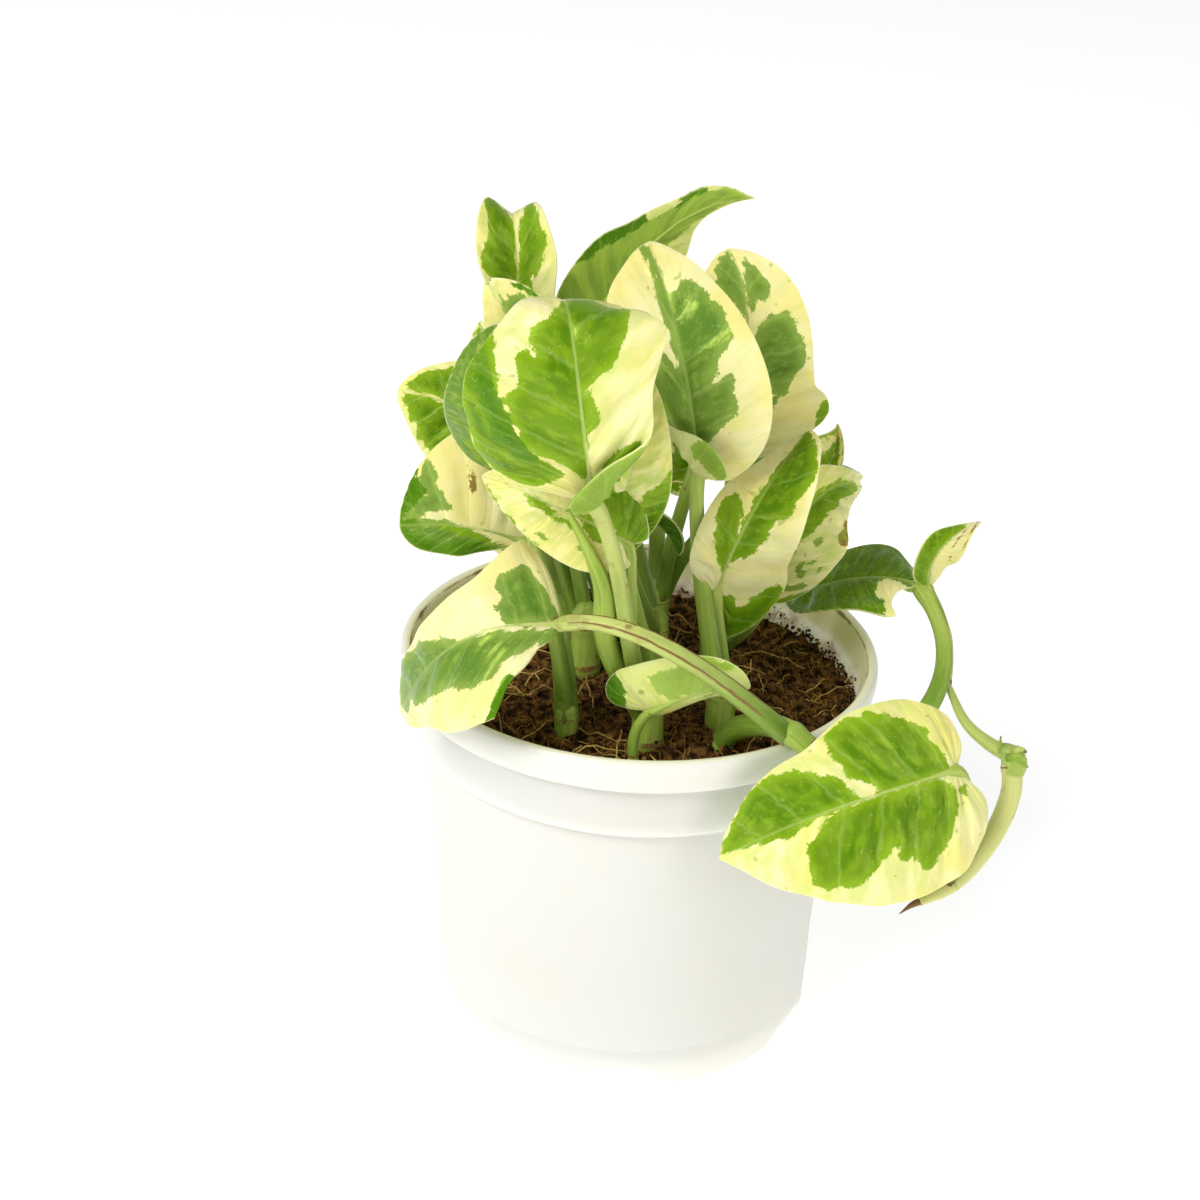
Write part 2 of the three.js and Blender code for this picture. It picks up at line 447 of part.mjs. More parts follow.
/** Offsets a sheet of triangles to both sides and closes its edge. */
function thicken(points, triangles, thickness) {
  const normals = points.map(() => new THREE.Vector3());
  const edges = new Map();
  for (let i = 0; i < triangles.length; i += 3) {
    const corners = triangles.slice(i, i + 3);
    const [p, q, r] = corners.map((k) => points[k]);
    const normal = new THREE.Vector3().crossVectors(q.clone().sub(p), r.clone().sub(p));
    corners.forEach((k, c) => {
      normals[k].add(normal);
      edges.set(`${k},${corners[(c + 1) % 3]}`, [k, corners[(c + 1) % 3]]);
    });
  }
  const shift = (sign) => points.map((p, i) => p.clone()
    .addScaledVector(normals[i].clone().normalize(), (sign * thickness) / 2));
  const count = points.length;
  const closed = [...triangles];
  for (let i = 0; i < triangles.length; i += 3) {
    closed.push(triangles[i] + count, triangles[i + 2] + count, triangles[i + 1] + count);
  }
  for (const [a, b] of edges.values()) {
    if (!edges.has(`${b},${a}`)) closed.push(b, a, a + count, b, a + count, b + count);
  }
  return solidOf(geometryFrom([...shift(1), ...shift(-1)], closed));
}

function bladeSolid(leaf) {
  const rib = new THREE.CubicBezierCurve3(...leaf.rib.map(vector));
  const length = rib.getLength();
  const columns = leaf.width < SMALL_BLADE.width ? SMALL_BLADE.columns : BLADE.columns;
  const flat = flatBlade(leaf, length, BLADE.rows, columns);
  const points = flat.points.map(([u, v]) => bladePoint(leaf, rib, length, u, v));
  return thicken(points, flat.triangles, BLADE.thickness);
}

/** A leaf stalk that runs on as the first stretch of the midrib, so that the blade is held. */
function stalkSolid(leaf) {
  const stalk = new THREE.CubicBezierCurve3(...leaf.stalk.map(vector), vector(leaf.rib[0]));
  const rib = new THREE.CubicBezierCurve3(...leaf.rib.map(vector));
  const [root, end] = leaf.taper;
  const steps = 7;
  const points = stalk.getPoints(steps);
  const radii = points.map((_, i) => root + ((end - root) * i) / steps);
  for (const share of [0.08, 0.22]) {
    points.push(rib.getPointAt(share));
    radii.push(end * (1 - share * 3));
  }
  return rod(points, radii);
}

/** A stem or vine: a smooth run through points, with radii at its start, middle and end. */
function runSolid({ path, radii }, sides = 7) {
  const curve = new THREE.CatmullRomCurve3(path.map(vector), false, 'centripetal');
  const steps = 2 * (path.length - 1);
  const [first, middle, last] = radii;
  const radiusAt = (t) => (t < 0.5 ? THREE.MathUtils.lerp(first, middle, 2 * t)
    : THREE.MathUtils.lerp(middle, last, 2 * t - 1));
  const points = curve.getPoints(steps);
  return rod(points, points.map((_, i) => radiusAt(i / steps)), sides);
}

function stemSolid({ foot: [x, y], girth, top }) {
  const heights = [STEM_FOOT, (STEM_FOOT + top) / 2, top];
  return rod(heights.map((z) => new THREE.Vector3(x, y, z)), [girth, girth, girth * 0.8], 8);
}

function shootSolid(shoot) {
  let solid = stemSolid(shoot);
  for (const run of [...(shoot.runs ?? []), ...(shoot.buds ?? [])]) solid = solid.add(runSolid(run));
  for (const leaf of shoot.leaves) solid = solid.add(stalkSolid(leaf)).add(bladeSolid(leaf));
  return solid;
}

// ---------------------------------------------------------------- pot and soil

/** The inner wall's radius at a height, a wall's thickness inside the outer profile. */
function innerRadius(z) {
  const { shoulderBottom, shoulderRadius, bodyTopRadius, bodyBaseRadius, bodyBaseHeight, wall } = POT;
  if (z > shoulderBottom) return shoulderRadius - wall + (z - shoulderBottom) * 0.1;
  const share = Math.max(0, (z - bodyBaseHeight) / (shoulderBottom - bodyBaseHeight));
  return bodyBaseRadius + (bodyTopRadius - bodyBaseRadius) * share ** 1.1 - wall;
}

function lathe(profile, segments) {
  const geometry = new THREE.LatheGeometry(profile.map(([r, z]) => new THREE.Vector2(r, z)), segments);
  return solidOf(geometry.rotateX(Math.PI / 2));
}

/** A tapered block that cuts one notch out of the foot ring. */
function footNotch(index) {
  const { count, first, bottomWidth, topWidth, height } = FOOT_NOTCH;
  const shape = new THREE.Shape([
    new THREE.Vector2(-bottomWidth / 2 - 1, -1), new THREE.Vector2(bottomWidth / 2 + 1, -1),
    new THREE.Vector2(topWidth / 2, height), new THREE.Vector2(-topWidth / 2, height),
  ]);
  const block = new THREE.ExtrudeGeometry(shape, { depth: 10, bevelEnabled: false });
  block.rotateX(Math.PI / 2).translate(0, POT.footRadius + 4, 0);
  return solidOf(block.rotateZ(THREE.MathUtils.degToRad(first - 90 + (360 * index) / count)));
}

function potSolid() {
  const { height, rimRadius, bandRadius, bandBottom, shoulderRadius, shoulderBottom } = POT;
  const { bodyTopRadius, bodyBaseRadius, bodyBaseHeight, footRadius, footHeight, wall } = POT;
  const { floorBottom, floorTop, segments } = POT;
  const outside = [
    [footRadius, 0], [footRadius + 0.1, footHeight], [bodyBaseRadius, footHeight + 0.6],
    [bodyBaseRadius, bodyBaseHeight], [bodyBaseRadius + 1.7, 50],
    [bodyTopRadius, shoulderBottom - 2], [shoulderRadius, shoulderBottom],
    [shoulderRadius + 1, bandBottom - 0.6], [bandRadius, bandBottom],
    [rimRadius - 0.2, bandBottom + 4], [rimRadius, height - 1.8], [rimRadius - 0.7, height - 0.4],
    [rimRadius - 1.9, height], [rimRadius - 3, height - 0.8],
  ];
  const inside = [[rimRadius - 3.6, height - 4], ...[87, 84.2, 81, 50, bodyBaseHeight]
    .map((z) => [innerRadius(z), z])];
  const floor = [[bodyBaseRadius - wall, floorTop + 3], [bodyBaseRadius - wall - 3, floorTop],
    [0, floorTop], [0, floorBottom], [footRadius - 2.4, floorBottom], [footRadius - 2, 0]];
  // Starts and ends on the axis: the floor's underside, the outside, the inside and the floor.
  const loop = [floor[3], floor[4], floor[5], ...outside, ...inside, floor[0], floor[1], floor[2]];
  let solid = lathe(loop, segments);
  for (let i = 0; i < FOOT_NOTCH.count; i++) solid = solid.subtract(footNotch(i));
  for (let i = 0; i < DRAIN_HOLE.count; i++) {
    const angle = (2 * Math.PI * i) / DRAIN_HOLE.count;
    const { circle, radius } = DRAIN_HOLE;
    const hole = new THREE.CylinderGeometry(radius, radius, 8, 10).rotateX(Math.PI / 2);
    hole.translate(circle * Math.cos(angle), circle * Math.sin(angle), floorBottom);
    solid = solid.subtract(solidOf(hole));
  }
  return solid;
}

/** The soil's height: a slope down to the back right and low, irregular lumps. */
function soilHeight(x, y) {
  const slope = THREE.MathUtils.smoothstep((x + 0.8 * y) / 60, 0, 1);
  const lumps = Math.sin(x * 0.33 + 1.1) * Math.cos(y * 0.29 - 0.4) + 0.6 * Math.sin(x * 0.71 - y * 0.53);
  return SOIL.level - SOIL.dip * slope + SOIL.bump * lumps;
}

function soilSolid() {
  const edge = (z) => innerRadius(z) - SOIL.edgeGap;
  const bottom = POT.floorTop + SOIL.edgeGap;
  const sides = [bottom + 3.2, POT.bodyBaseHeight, 50, 81, 84.2, 87].map((z) => [edge(z), z]);
  sides[0][0] = POT.bodyBaseRadius - POT.wall - SOIL.edgeGap - 0.2;
  const radii = [edge(94), 50, 39, 28, 17, 8, 0];
  const profile = [[0, bottom], [sides[0][0] - 3, bottom], ...sides, ...radii.map((r) => [r, SOIL.level])];
  const geometry = new THREE.LatheGeometry(profile.map(([r, z]) => new THREE.Vector2(r, z)), SOIL.segments);
  geometry.rotateX(Math.PI / 2);
  const position = geometry.attributes.position;
  for (let i = 0; i < position.count; i++) {
    if (position.getZ(i) < SOIL.level - 0.01) continue;
    position.setZ(i, soilHeight(position.getX(i), position.getY(i)));
  }
  let solid = solidOf(geometry);
  for (const { foot: [x, y], girth } of Object.values(SHOOTS)) {
    const radius = girth + STEM_HOLE_GAP;
    const depth = SOIL.level + 12 - (STEM_FOOT - 1);
    const hole = new THREE.CylinderGeometry(radius, radius, depth, 10).rotateX(Math.PI / 2);
    solid = solid.subtract(solidOf(hole.translate(x, y, STEM_FOOT - 1 + depth / 2)));
  }
  return solid;
}

// ---------------------------------------------------------------- the plant

const FINISHES = {
  pot: new THREE.MeshStandardMaterial({ color: 0xf3f1e8, roughness: 0.45, metalness: 0 }),
  soil: new THREE.MeshStandardMaterial({ color: 0x3a2416, roughness: 0.95, metalness: 0 }),
  leaf: new THREE.MeshStandardMaterial({ color: 0xa9c45a, roughness: 0.35, metalness: 0 }),
};

function part(name, solid, finish) {
  const mesh = new THREE.Mesh(geometryOf(solid), finish);
  mesh.name = name;
  return mesh;
}

const plant = new THREE.Group();
plant.add(part('pot', potSolid(), FINISHES.pot));
plant.add(part('soil', soilSolid(), FINISHES.soil));
for (const [name, shoot] of Object.entries(SHOOTS)) {
  plant.add(part(name, shootSolid(shoot), FINISHES.leaf));
}

// The origin is the middle of the footprint of the whole plant.
const box = new THREE.Box3().setFromObject(plant, true);
const middle = box.getCenter(new THREE.Vector3());
plant.position.set(-middle.x, -middle.y, -box.min.z);

const model = new THREE.Group();
model.add(plant);

export default model;
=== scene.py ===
"""Looks of a potted pothos with cream and green leaves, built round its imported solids."""

import logging
import math
from dataclasses import dataclass, field, replace
from enum import Enum
from typing import Callable

import bpy
import numpy as np
from mathutils import Matrix, Vector


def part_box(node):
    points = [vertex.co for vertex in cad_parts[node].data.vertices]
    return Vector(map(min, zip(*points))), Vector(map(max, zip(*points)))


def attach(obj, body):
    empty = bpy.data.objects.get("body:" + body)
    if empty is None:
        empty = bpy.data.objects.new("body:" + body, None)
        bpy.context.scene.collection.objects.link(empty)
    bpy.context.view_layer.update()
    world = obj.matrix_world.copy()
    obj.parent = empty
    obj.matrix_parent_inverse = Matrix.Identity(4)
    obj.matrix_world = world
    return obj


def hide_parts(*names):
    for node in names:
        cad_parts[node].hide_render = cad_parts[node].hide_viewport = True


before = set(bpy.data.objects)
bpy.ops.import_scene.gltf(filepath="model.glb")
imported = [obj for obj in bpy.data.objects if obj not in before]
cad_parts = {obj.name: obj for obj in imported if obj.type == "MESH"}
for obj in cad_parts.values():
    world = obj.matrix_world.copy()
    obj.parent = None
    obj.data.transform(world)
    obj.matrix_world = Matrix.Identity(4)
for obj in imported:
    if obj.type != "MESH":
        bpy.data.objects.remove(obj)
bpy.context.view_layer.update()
LOG = logging.getLogger("potted_pothos")

Point = tuple[float, float, float]
Flat = tuple[float, float]
Pair = tuple[float, float]
MM = 0.001
PERCENT = 100
HANDS = (-1, 1)
FIBRE_SCALE = 0.05

# ---------------------------------------------------------------- placing


def pot_axis() -> np.ndarray:
    """Find where the pot's axis stands, in millimetres, in the row frame."""
    low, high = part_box("pot")
    return np.array([(low.x + high.x) / 2, (low.y + high.y) / 2, 0.0]) / MM


AXIS = pot_axis()


def unit(vectors: np.ndarray) -> np.ndarray:
    """Scale vectors to a length of one."""
    return vectors / np.maximum(np.linalg.norm(vectors, axis=-1, keepdims=True), 1e-12)


def catmull_span(a: np.ndarray, b: np.ndarray, c: np.ndarray, d: np.ndarray,
                 t: np.ndarray) -> np.ndarray:
    """Sample the span from b to c of a uniform Catmull-Rom curve, at t from 0 to 1."""
    square, cube = 2 * a - 5 * b + 4 * c - d, 3 * b - a - 3 * c + d
    return 0.5 * (2 * b + (c - a) * t + square * t**2 + cube * t**3)


def catmull(points: np.ndarray, shares: np.ndarray) -> np.ndarray:
    """Sample a uniform Catmull-Rom curve through points.

    Args:
        points: The curve's points, one a row.
        shares: Where to sample it, from 0 at the first point to 1 at the last.

    Returns:
        The sampled points, one a row.
    """
    last = len(points) - 1
    place = np.clip(shares * last, 0, last - 1e-9)
    span = place.astype(int)
    t = (place - span)[:, None]
    longer = np.vstack([2 * points[0] - points[1], points, 2 * points[-1] - points[-2]])
    a, b, c, d = (longer[span + k] for k in range(4))
    return catmull_span(a, b, c, d, t)


def closed_catmull(points: np.ndarray, steps: int) -> np.ndarray:
    """Round a closed outline with a Catmull-Rom curve.

    Args:
        points: The outline's corners, one a row.
        steps: How many points each side is divided into.

    Returns:
        The rounded outline, without the first point repeated.
    """
    t = (np.arange(steps) / steps)[None, :, None]
    a, b, c, d = (np.roll(points, shift, axis=0)[:, None] for shift in (1, 0, -1, -2))
    curve = catmull_span(a, b, c, d, t)
    return curve.reshape(-1, points.shape[1])


def route(points: np.ndarray, steps: int) -> np.ndarray:
    """Run a centripetal Catmull-Rom curve through points, as a stem grows.

    Args:
        points: The route's points, one a row.
        steps: How many steps each span is divided into.

    Returns:
        The points along the route.
    """
    longer = np.vstack([2 * points[0] - points[1], points, 2 * points[-1] - points[-2]])
    made = []
    for i in range(len(points) - 1):
        a, b, c, d = longer[i : i + 4]
        ab, bc, cd = (math.sqrt(np.linalg.norm(q - p)) for p, q in ((a, b), (b, c), (c, d)))
        start = ((b - a) / ab - (c - a) / (ab + bc) + (c - b) / bc) * bc
        end = ((c - b) / bc - (d - b) / (bc + cd) + (d - c) / cd) * bc
        t = (np.arange(steps) / steps)[:, None]
        square, cube = 3 * (c - b) - 2 * start - end, 2 * (b - c) + start + end
        made.append(b + start * t + square * t**2 + cube * t**3)
    return np.vstack([*made, points[-1:]])


def bezier(points: np.ndarray, t: np.ndarray) -> np.ndarray:
    """Sample a cubic Bezier curve at parameters t."""
    t = t[..., None]
    a, b, c, d = points
    return (1 - t) ** 3 * a + 3 * (1 - t) ** 2 * t * b + 3 * (1 - t) * t**2 * c + t**3 * d


def bezier_slope(points: np.ndarray, t: np.ndarray) -> np.ndarray:
    """Find the direction of a cubic Bezier curve at parameters t."""
    t = t[..., None]
    a, b, c, d = points
    return unit((1 - t) ** 2 * (b - a) + 2 * (1 - t) * t * (c - b) + t**2 * (d - c) + 1e-9)


def smooth_step(value: np.ndarray, low: float, high: float) -> np.ndarray:
    """Rise smoothly from 0 at low to 1 at high."""
    t = np.clip((value - low) / (high - low), 0, 1)
    return t * t * (3 - 2 * t)


def bell(value: np.ndarray, at: float, width: float) -> np.ndarray:
    """Rise to 1 at one place and fall to 0 on both sides of it, over about a width."""
    return np.exp(-(((value - at) / width) ** 2))


def ripple_noise(points: np.ndarray, scale: float, seed: int) -> np.ndarray:
    """Give a smooth noise from -1 to 1 as a sum of seeded waves.

    Args:
        points: Where to read it, one point a row.
        scale: The length of its main waves, in the points' unit.
        seed: Which noise.

    Returns:
        A value for each point.
    """
    draw = np.random.default_rng(seed)
    total = np.zeros(len(points))
    for _ in range(9):
        direction = unit(draw.normal(size=points.shape[1]))
        waves = draw.uniform(0.6, 2.4) / scale
        total += np.sin(points @ direction * waves * 2 * math.pi + draw.uniform(0, 2 * math.pi))
    return total / 4.5


# ---------------------------------------------------------------- meshes


@dataclass
class Draft:
    """A mesh on the drawing board, in millimetres from the pot's axis."""

    points: np.ndarray
    faces: list[tuple[int, ...]]
    marks: dict[str, np.ndarray] = field(default_factory=dict)

    def joined(self, other: "Draft") -> "Draft":
        """Put another draft into this one's mesh."""
        shift = len(self.points)
        faces = self.faces + [tuple(k + shift for k in face) for face in other.faces]
        marks = {}
        for name in {**self.marks, **other.marks}:
            sample = self.marks.get(name, other.marks.get(name))
            blank = [np.zeros((len(d.points), *sample.shape[1:])) for d in (self, other)]
            parts = [d.marks.get(name, blank[i]) for i, d in enumerate((self, other))]
            marks[name] = np.concatenate(parts)
        return Draft(np.vstack([self.points, other.points]), faces, marks)

    def build(self, name: str, material: bpy.types.Material, sharp: float = 60) -> bpy.types.Object:
        """Make the Blender object.

        Args:
            name: The piece's name.
            material: Its finish.
            sharp: The angle in degrees beyond which an edge shows as an edge.

        Returns:
            The object, linked to the scene.
        """
        mesh = bpy.data.meshes.new(name)
        mesh.from_pydata(((self.points + AXIS) * MM).tolist(), [], self.faces)
        for key, values in self.marks.items():
            kind = "FLOAT" if values.ndim == 1 else "FLOAT_VECTOR"
            store = "value" if values.ndim == 1 else "vector"
            layer = mesh.attributes.new(key, kind, "POINT")
            layer.data.foreach_set(store, values.astype(np.float32).ravel())
        mesh.polygons.foreach_set("use_smooth", [True] * len(mesh.polygons))
        mesh.set_sharp_from_angle(angle=math.radians(sharp))
        mesh.materials.append(material)
        mesh.validate()
        made = bpy.data.objects.new(name, mesh)
        bpy.context.scene.collection.objects.link(made)
        return made


def settle(piece: bpy.types.Object, node: str) -> None:
    """Ride a piece on the plant, hide the CAD node that it stands for and log its face count."""
    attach(piece, "root")
    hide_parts(node)
    LOG.info("%s: %d faces", piece.name, len(piece.data.polygons))


def tube(path: np.ndarray, radii: np.ndarray, sides: int, facing: Point,
         section: Callable[[np.ndarray, np.ndarray], np.ndarray] | None = None) -> Draft:
    """Wrap a closed skin round a path.

    Args:
        path: The centre line, one point a row.
        radii: The radius at each point.
        sides: How many corners each ring has.
        facing: The direction that a ring's first corner looks to.
        section: Gives each corner's share of the radius from its angle and its share of the length.

    Returns:
        The tube, with its `fibre` (round the stem and along it) and `along` marks.
    """
    slopes = unit(np.gradient(path, axis=0))
    ups = np.zeros_like(path)
    up = np.array(facing, float)
    for i, slope in enumerate(slopes):
        up = unit(up - slope * (up @ slope))
        ups[i] = up
    across = np.cross(slopes, ups)
    angle = np.arange(sides) * 2 * math.pi / sides
    steps = np.linalg.norm(np.diff(path, axis=0), axis=1)
    length = np.concatenate([[0], np.cumsum(steps)])
    share = length / length[-1]
    turn, way = np.meshgrid(angle, share)
    scale = np.ones_like(turn) if section is None else section(turn, way)
    reach = (radii[:, None] * scale)[..., None]
    spokes = np.cos(turn)[..., None] * ups[:, None] + np.sin(turn)[..., None] * across[:, None]
    rings = path[:, None] + reach * spokes
    points = np.vstack([rings.reshape(-1, 3), path[:1], path[-1:]])
    faces = []
    count = len(path)
    for i in range(count - 1):
        for k in range(sides):
            a, b = i * sides + k, i * sides + (k + 1) % sides
            faces.append((a, b, b + sides, a + sides))
    first, last, end = count * sides, count * sides + 1, (count - 1) * sides
    for k in range(sides):
        faces.append((first, (k + 1) % sides, k))
        faces.append((last, end + k, end + (k + 1) % sides))
    run = np.repeat(length[:, None], sides, 1) * FIBRE_SCALE
    fibre = np.stack([np.cos(turn), np.sin(turn), run], -1).reshape(-1, 3)
    fibre = np.vstack([fibre, [[0, 0, 0], [0, 0, length[-1] * FIBRE_SCALE]]])
    along = np.concatenate([way.ravel(), [0, 1]])
    return Draft(points, faces, {"fibre": fibre, "along": along})


# ---------------------------------------------------------------- finishes

Colour = tuple[float, float, float]
Socket = bpy.types.NodeSocket


class Palette:
    """Lays the shader nodes of one material."""

    def __init__(self, name: str) -> None:
        """Start a material with a Principled shader."""
        self.material = bpy.data.materials.new(name)
        self.material.use_nodes = True
        self.tree = self.material.node_tree
        self.shader = self.tree.nodes["Principled BSDF"]

    def add(self, kind: str, **settings: object) -> bpy.types.Node:
        """Add a node and set its options."""
        node = self.tree.nodes.new(kind)
        for key, value in settings.items():
            setattr(node, key, value)
        return node

    def feed(self, socket: Socket, value: object) -> None:
        """Link a socket to another, or set its own value."""
        if isinstance(value, Socket):
            self.tree.links.new(value, socket)
        elif isinstance(value, tuple) and len(value) == 3 and socket.type == "RGBA":
            socket.default_value = (*value, 1)
        else:
            socket.default_value = value

    def mark(self, name: str, vector: bool = False) -> Socket:
        """Read a mark that the mesh carries at its points."""
        node = self.add("ShaderNodeAttribute", attribute_name=name)
        return node.outputs["Vector" if vector else "Fac"]

    def place(self) -> Socket:
        """Read the place on the object, in metres."""
        return self.add("ShaderNodeTexCoord").outputs["Object"]

    def stretch(self, vector: Socket, by: Point) -> Socket:
        """Scale a coordinate along each axis."""
        node = self.add("ShaderNodeVectorMath", operation="MULTIPLY")
        self.feed(node.inputs[0], vector)
        node.inputs[1].default_value = by
        return node.outputs[0]

    def sums(self, operation: str, a: object, b: object) -> Socket:
        """Work out one step of arithmetic."""
        node = self.add("ShaderNodeMath", operation=operation)
        self.feed(node.inputs[0], a)
        self.feed(node.inputs[1], b)
        return node.outputs[0]

    def plus(self, a: object, b: object) -> Socket:
        """Add b to a."""
        return self.sums("ADD", a, b)

    def minus(self, a: object, b: object) -> Socket:
        """Take b from a."""
        return self.sums("SUBTRACT", a, b)

    def times(self, a: object, b: object) -> Socket:
        """Multiply a by b."""
        return self.sums("MULTIPLY", a, b)

    def part(self, vector: Socket, axis: str) -> Socket:
        """Read one axis of a coordinate."""
        node = self.add("ShaderNodeSeparateXYZ")
        self.feed(node.inputs[0], vector)
        return node.outputs[axis]

    def noise(self, vector: Socket, scale: float, detail: float) -> Socket:
        """Read a noise from about 0 to 1."""
        node = self.add("ShaderNodeTexNoise")
        self.feed(node.inputs["Vector"], vector)
        node.inputs["Scale"].default_value = scale
        node.inputs["Detail"].default_value = detail
        return node.outputs["Fac"]

    def grain(self, vector: Socket, by: Point, detail: float) -> Socket:
        """Read a noise that is drawn out along each axis."""
        return self.noise(self.stretch(vector, by), 1.0, detail)

    def rise(self, value: Socket, low: float, high: float) -> Socket:
        """Rise smoothly from 0 at low to 1 at high."""
        node = self.add("ShaderNodeMapRange", interpolation_type="SMOOTHSTEP")
        self.feed(node.inputs["Value"], value)
        node.inputs["From Min"].default_value = low
        node.inputs["From Max"].default_value = high
        return node.outputs["Result"]

    def blend(self, share: object, a: object, b: object) -> Socket:
        """Mix colour a into colour b by a share."""
        node = self.add("ShaderNodeMix", data_type="RGBA")
        self.feed(node.inputs[0], share)
        self.feed(node.inputs[6], a)
        self.feed(node.inputs[7], b)
        return node.outputs[2]

    def bump(self, height: Socket, depth: float, strength: float) -> None:
        """Roughen the surface by a height, to a depth in metres."""
        node = self.add("ShaderNodeBump")
        node.inputs["Strength"].default_value = strength
        node.inputs["Distance"].default_value = depth
        self.feed(node.inputs["Height"], height)
        self.feed(self.shader.inputs["Normal"], node.outputs["Normal"])

    def set(self, **values: object) -> None:
        """Set the shader's own sockets, with underscores for spaces in their names."""
        for key, value in values.items():
            self.feed(self.shader.inputs[key.replace("_", " ")], value)


class Tone(Enum):
    """The tones that a blade is patched with, in the order that they cover each other."""

    GREY = "grey"
    GREEN = "green"
    DARK = "dark"
    CREAM = "cream"
    BROWN = "brown"


@dataclass(frozen=True)
class BladeFinish:
    """Glossy variegated leaf: each tone has a colour in its middle and one at its edge."""

    cream: Colour = (0.88, 0.79, 0.44)
    deep_cream: Colour = (0.87, 0.74, 0.30)
    lime: Colour = (0.56, 0.68, 0.13)
    bright: Colour = (0.30, 0.46, 0.03)
    margin: Colour = (0.84, 0.82, 0.48)
    rib: Colour = (0.52, 0.63, 0.2)
    haze: Colour = (0.5, 0.62, 0.08)
    speck: Colour = (0.5, 0.62, 0.2)
    under: Colour = (0.5, 0.66, 0.14)
    tones: tuple[tuple[Tone, Colour, Colour], ...] = (
        (Tone.GREY, (0.105, 0.22, 0.028), (0.22, 0.34, 0.06)),
        (Tone.GREEN, (0.085, 0.205, 0.003), (0.19, 0.34, 0.008)),
        (Tone.DARK, (0.04, 0.145, 0.003), (0.08, 0.22, 0.006)),
        (Tone.CREAM, (0.88, 0.80, 0.42), (0.78, 0.76, 0.30)),
        (Tone.BROWN, (0.13, 0.055, 0.015), (0.26, 0.15, 0.04)),
    )
    streaks: Point = (34, 5, 1)
    fine_streaks: Point = (150, 34, 1)
    mottles: Point = (44, 7, 1)
    stripes: Point = (26, 1.6, 1)
    hazes: Point = (60, 3, 1)
    roughness: float = 0.23

    def material(self) -> bpy.types.Material:
        """Make the material that every blade shares."""
        p = Palette("pothos_blade")
        vein = p.mark("vein", vector=True)
        streak = p.grain(vein, self.streaks, 3)
        fine = p.grain(vein, self.fine_streaks, 1)
        cloud = p.noise(p.place(), 60, 2)
        wobble = p.plus(p.times(p.minus(streak, 0.5), 3.2), p.times(p.minus(fine, 0.5), 1.2))
        colour = p.blend(p.rise(cloud, 0.4, 0.65), self.cream, self.deep_cream)
        near = p.rise(p.mark("near"), -8, 0)
        flush = p.mark("flush")
        tint = p.rise(p.plus(streak, p.times(near, 0.16)), 0.46, 0.8)
        colour = p.blend(p.times(tint, flush), colour, self.lime)
        fleck = p.rise(p.plus(p.noise(p.place(), 360, 1), p.times(near, 0.05)), 0.75, 0.79)
        colour = p.blend(p.times(fleck, 0.5), colour, self.tones[0][2])
        mottle = p.rise(p.grain(vein, self.mottles, 2), 0.48, 0.68)
        plain, face = flush, 1.0
        for tone, middle, edge in self.tones:
            depth = p.mark(tone.value)
            inside = p.rise(p.plus(depth, wobble), -0.18, 0.18)
            if tone in (Tone.DARK, Tone.CREAM):
                plain = p.times(plain, p.minus(1.0, inside))
            if tone is Tone.DARK:
                face = p.minus(1.0, inside)
            body = p.blend(p.rise(depth, 0.2, 3.5), edge, middle)
            body = p.blend(p.times(mottle, 0.6), body, edge)
            colour = p.blend(inside, colour, body)
        stripe = p.rise(p.grain(vein, self.stripes, 1), 0.38, 0.62)
        colour = p.blend(p.times(stripe, p.times(plain, 0.7)), colour, self.bright)
        haze = p.grain(vein, self.hazes, 2)
        colour = p.blend(p.times(p.rise(haze, 0.5, 0.75), 0.14), colour, self.haze)
        speck = p.rise(p.noise(p.place(), 1500, 0), 0.75, 0.8)
        colour = p.blend(p.times(speck, 0.28), colour, self.speck)
        along = p.part(vein, "X")
        beside = p.plus(p.times(along, float(QUILTS)), p.times(streak, 0.3))
        line = p.minus(1.0, p.rise(p.sums("PINGPONG", beside, 0.5), 0.01, 0.08))
        colour = p.blend(p.times(line, 0.15), colour, self.rib)
        rib = p.minus(1.0, p.rise(p.mark("rib"), 0.12, 0.6))
        young = p.minus(0.6, p.times(p.rise(along, 0.55, 0.9), 0.4))
        colour = p.blend(p.times(rib, young), colour, self.rib)
        rim = p.times(p.minus(1.0, p.rise(p.mark("edge"), 0.15, 0.45)), 0.7)
        colour = p.blend(rim, colour, self.margin)
        under = p.mark("under")
        colour = p.blend(p.times(p.times(under, 0.38), face), colour, self.under)
        rough = p.plus(p.times(under, 0.2), self.roughness)
        height = p.plus(p.times(haze, 0.6), p.noise(p.place(), 900, 2))
        height = p.minus(height, p.times(line, 0.5))
        p.bump(height, 0.00014, 0.7)
        p.set(Base_Color=colour, Roughness=rough,
              Subsurface_Weight=0.45, Subsurface_Scale=0.002, Subsurface_Radius=(1.0, 0.9, 0.2),
              Specular_IOR_Level=0.42, Specular_Tint=(0.85, 1.0, 0.2))
        return p.material


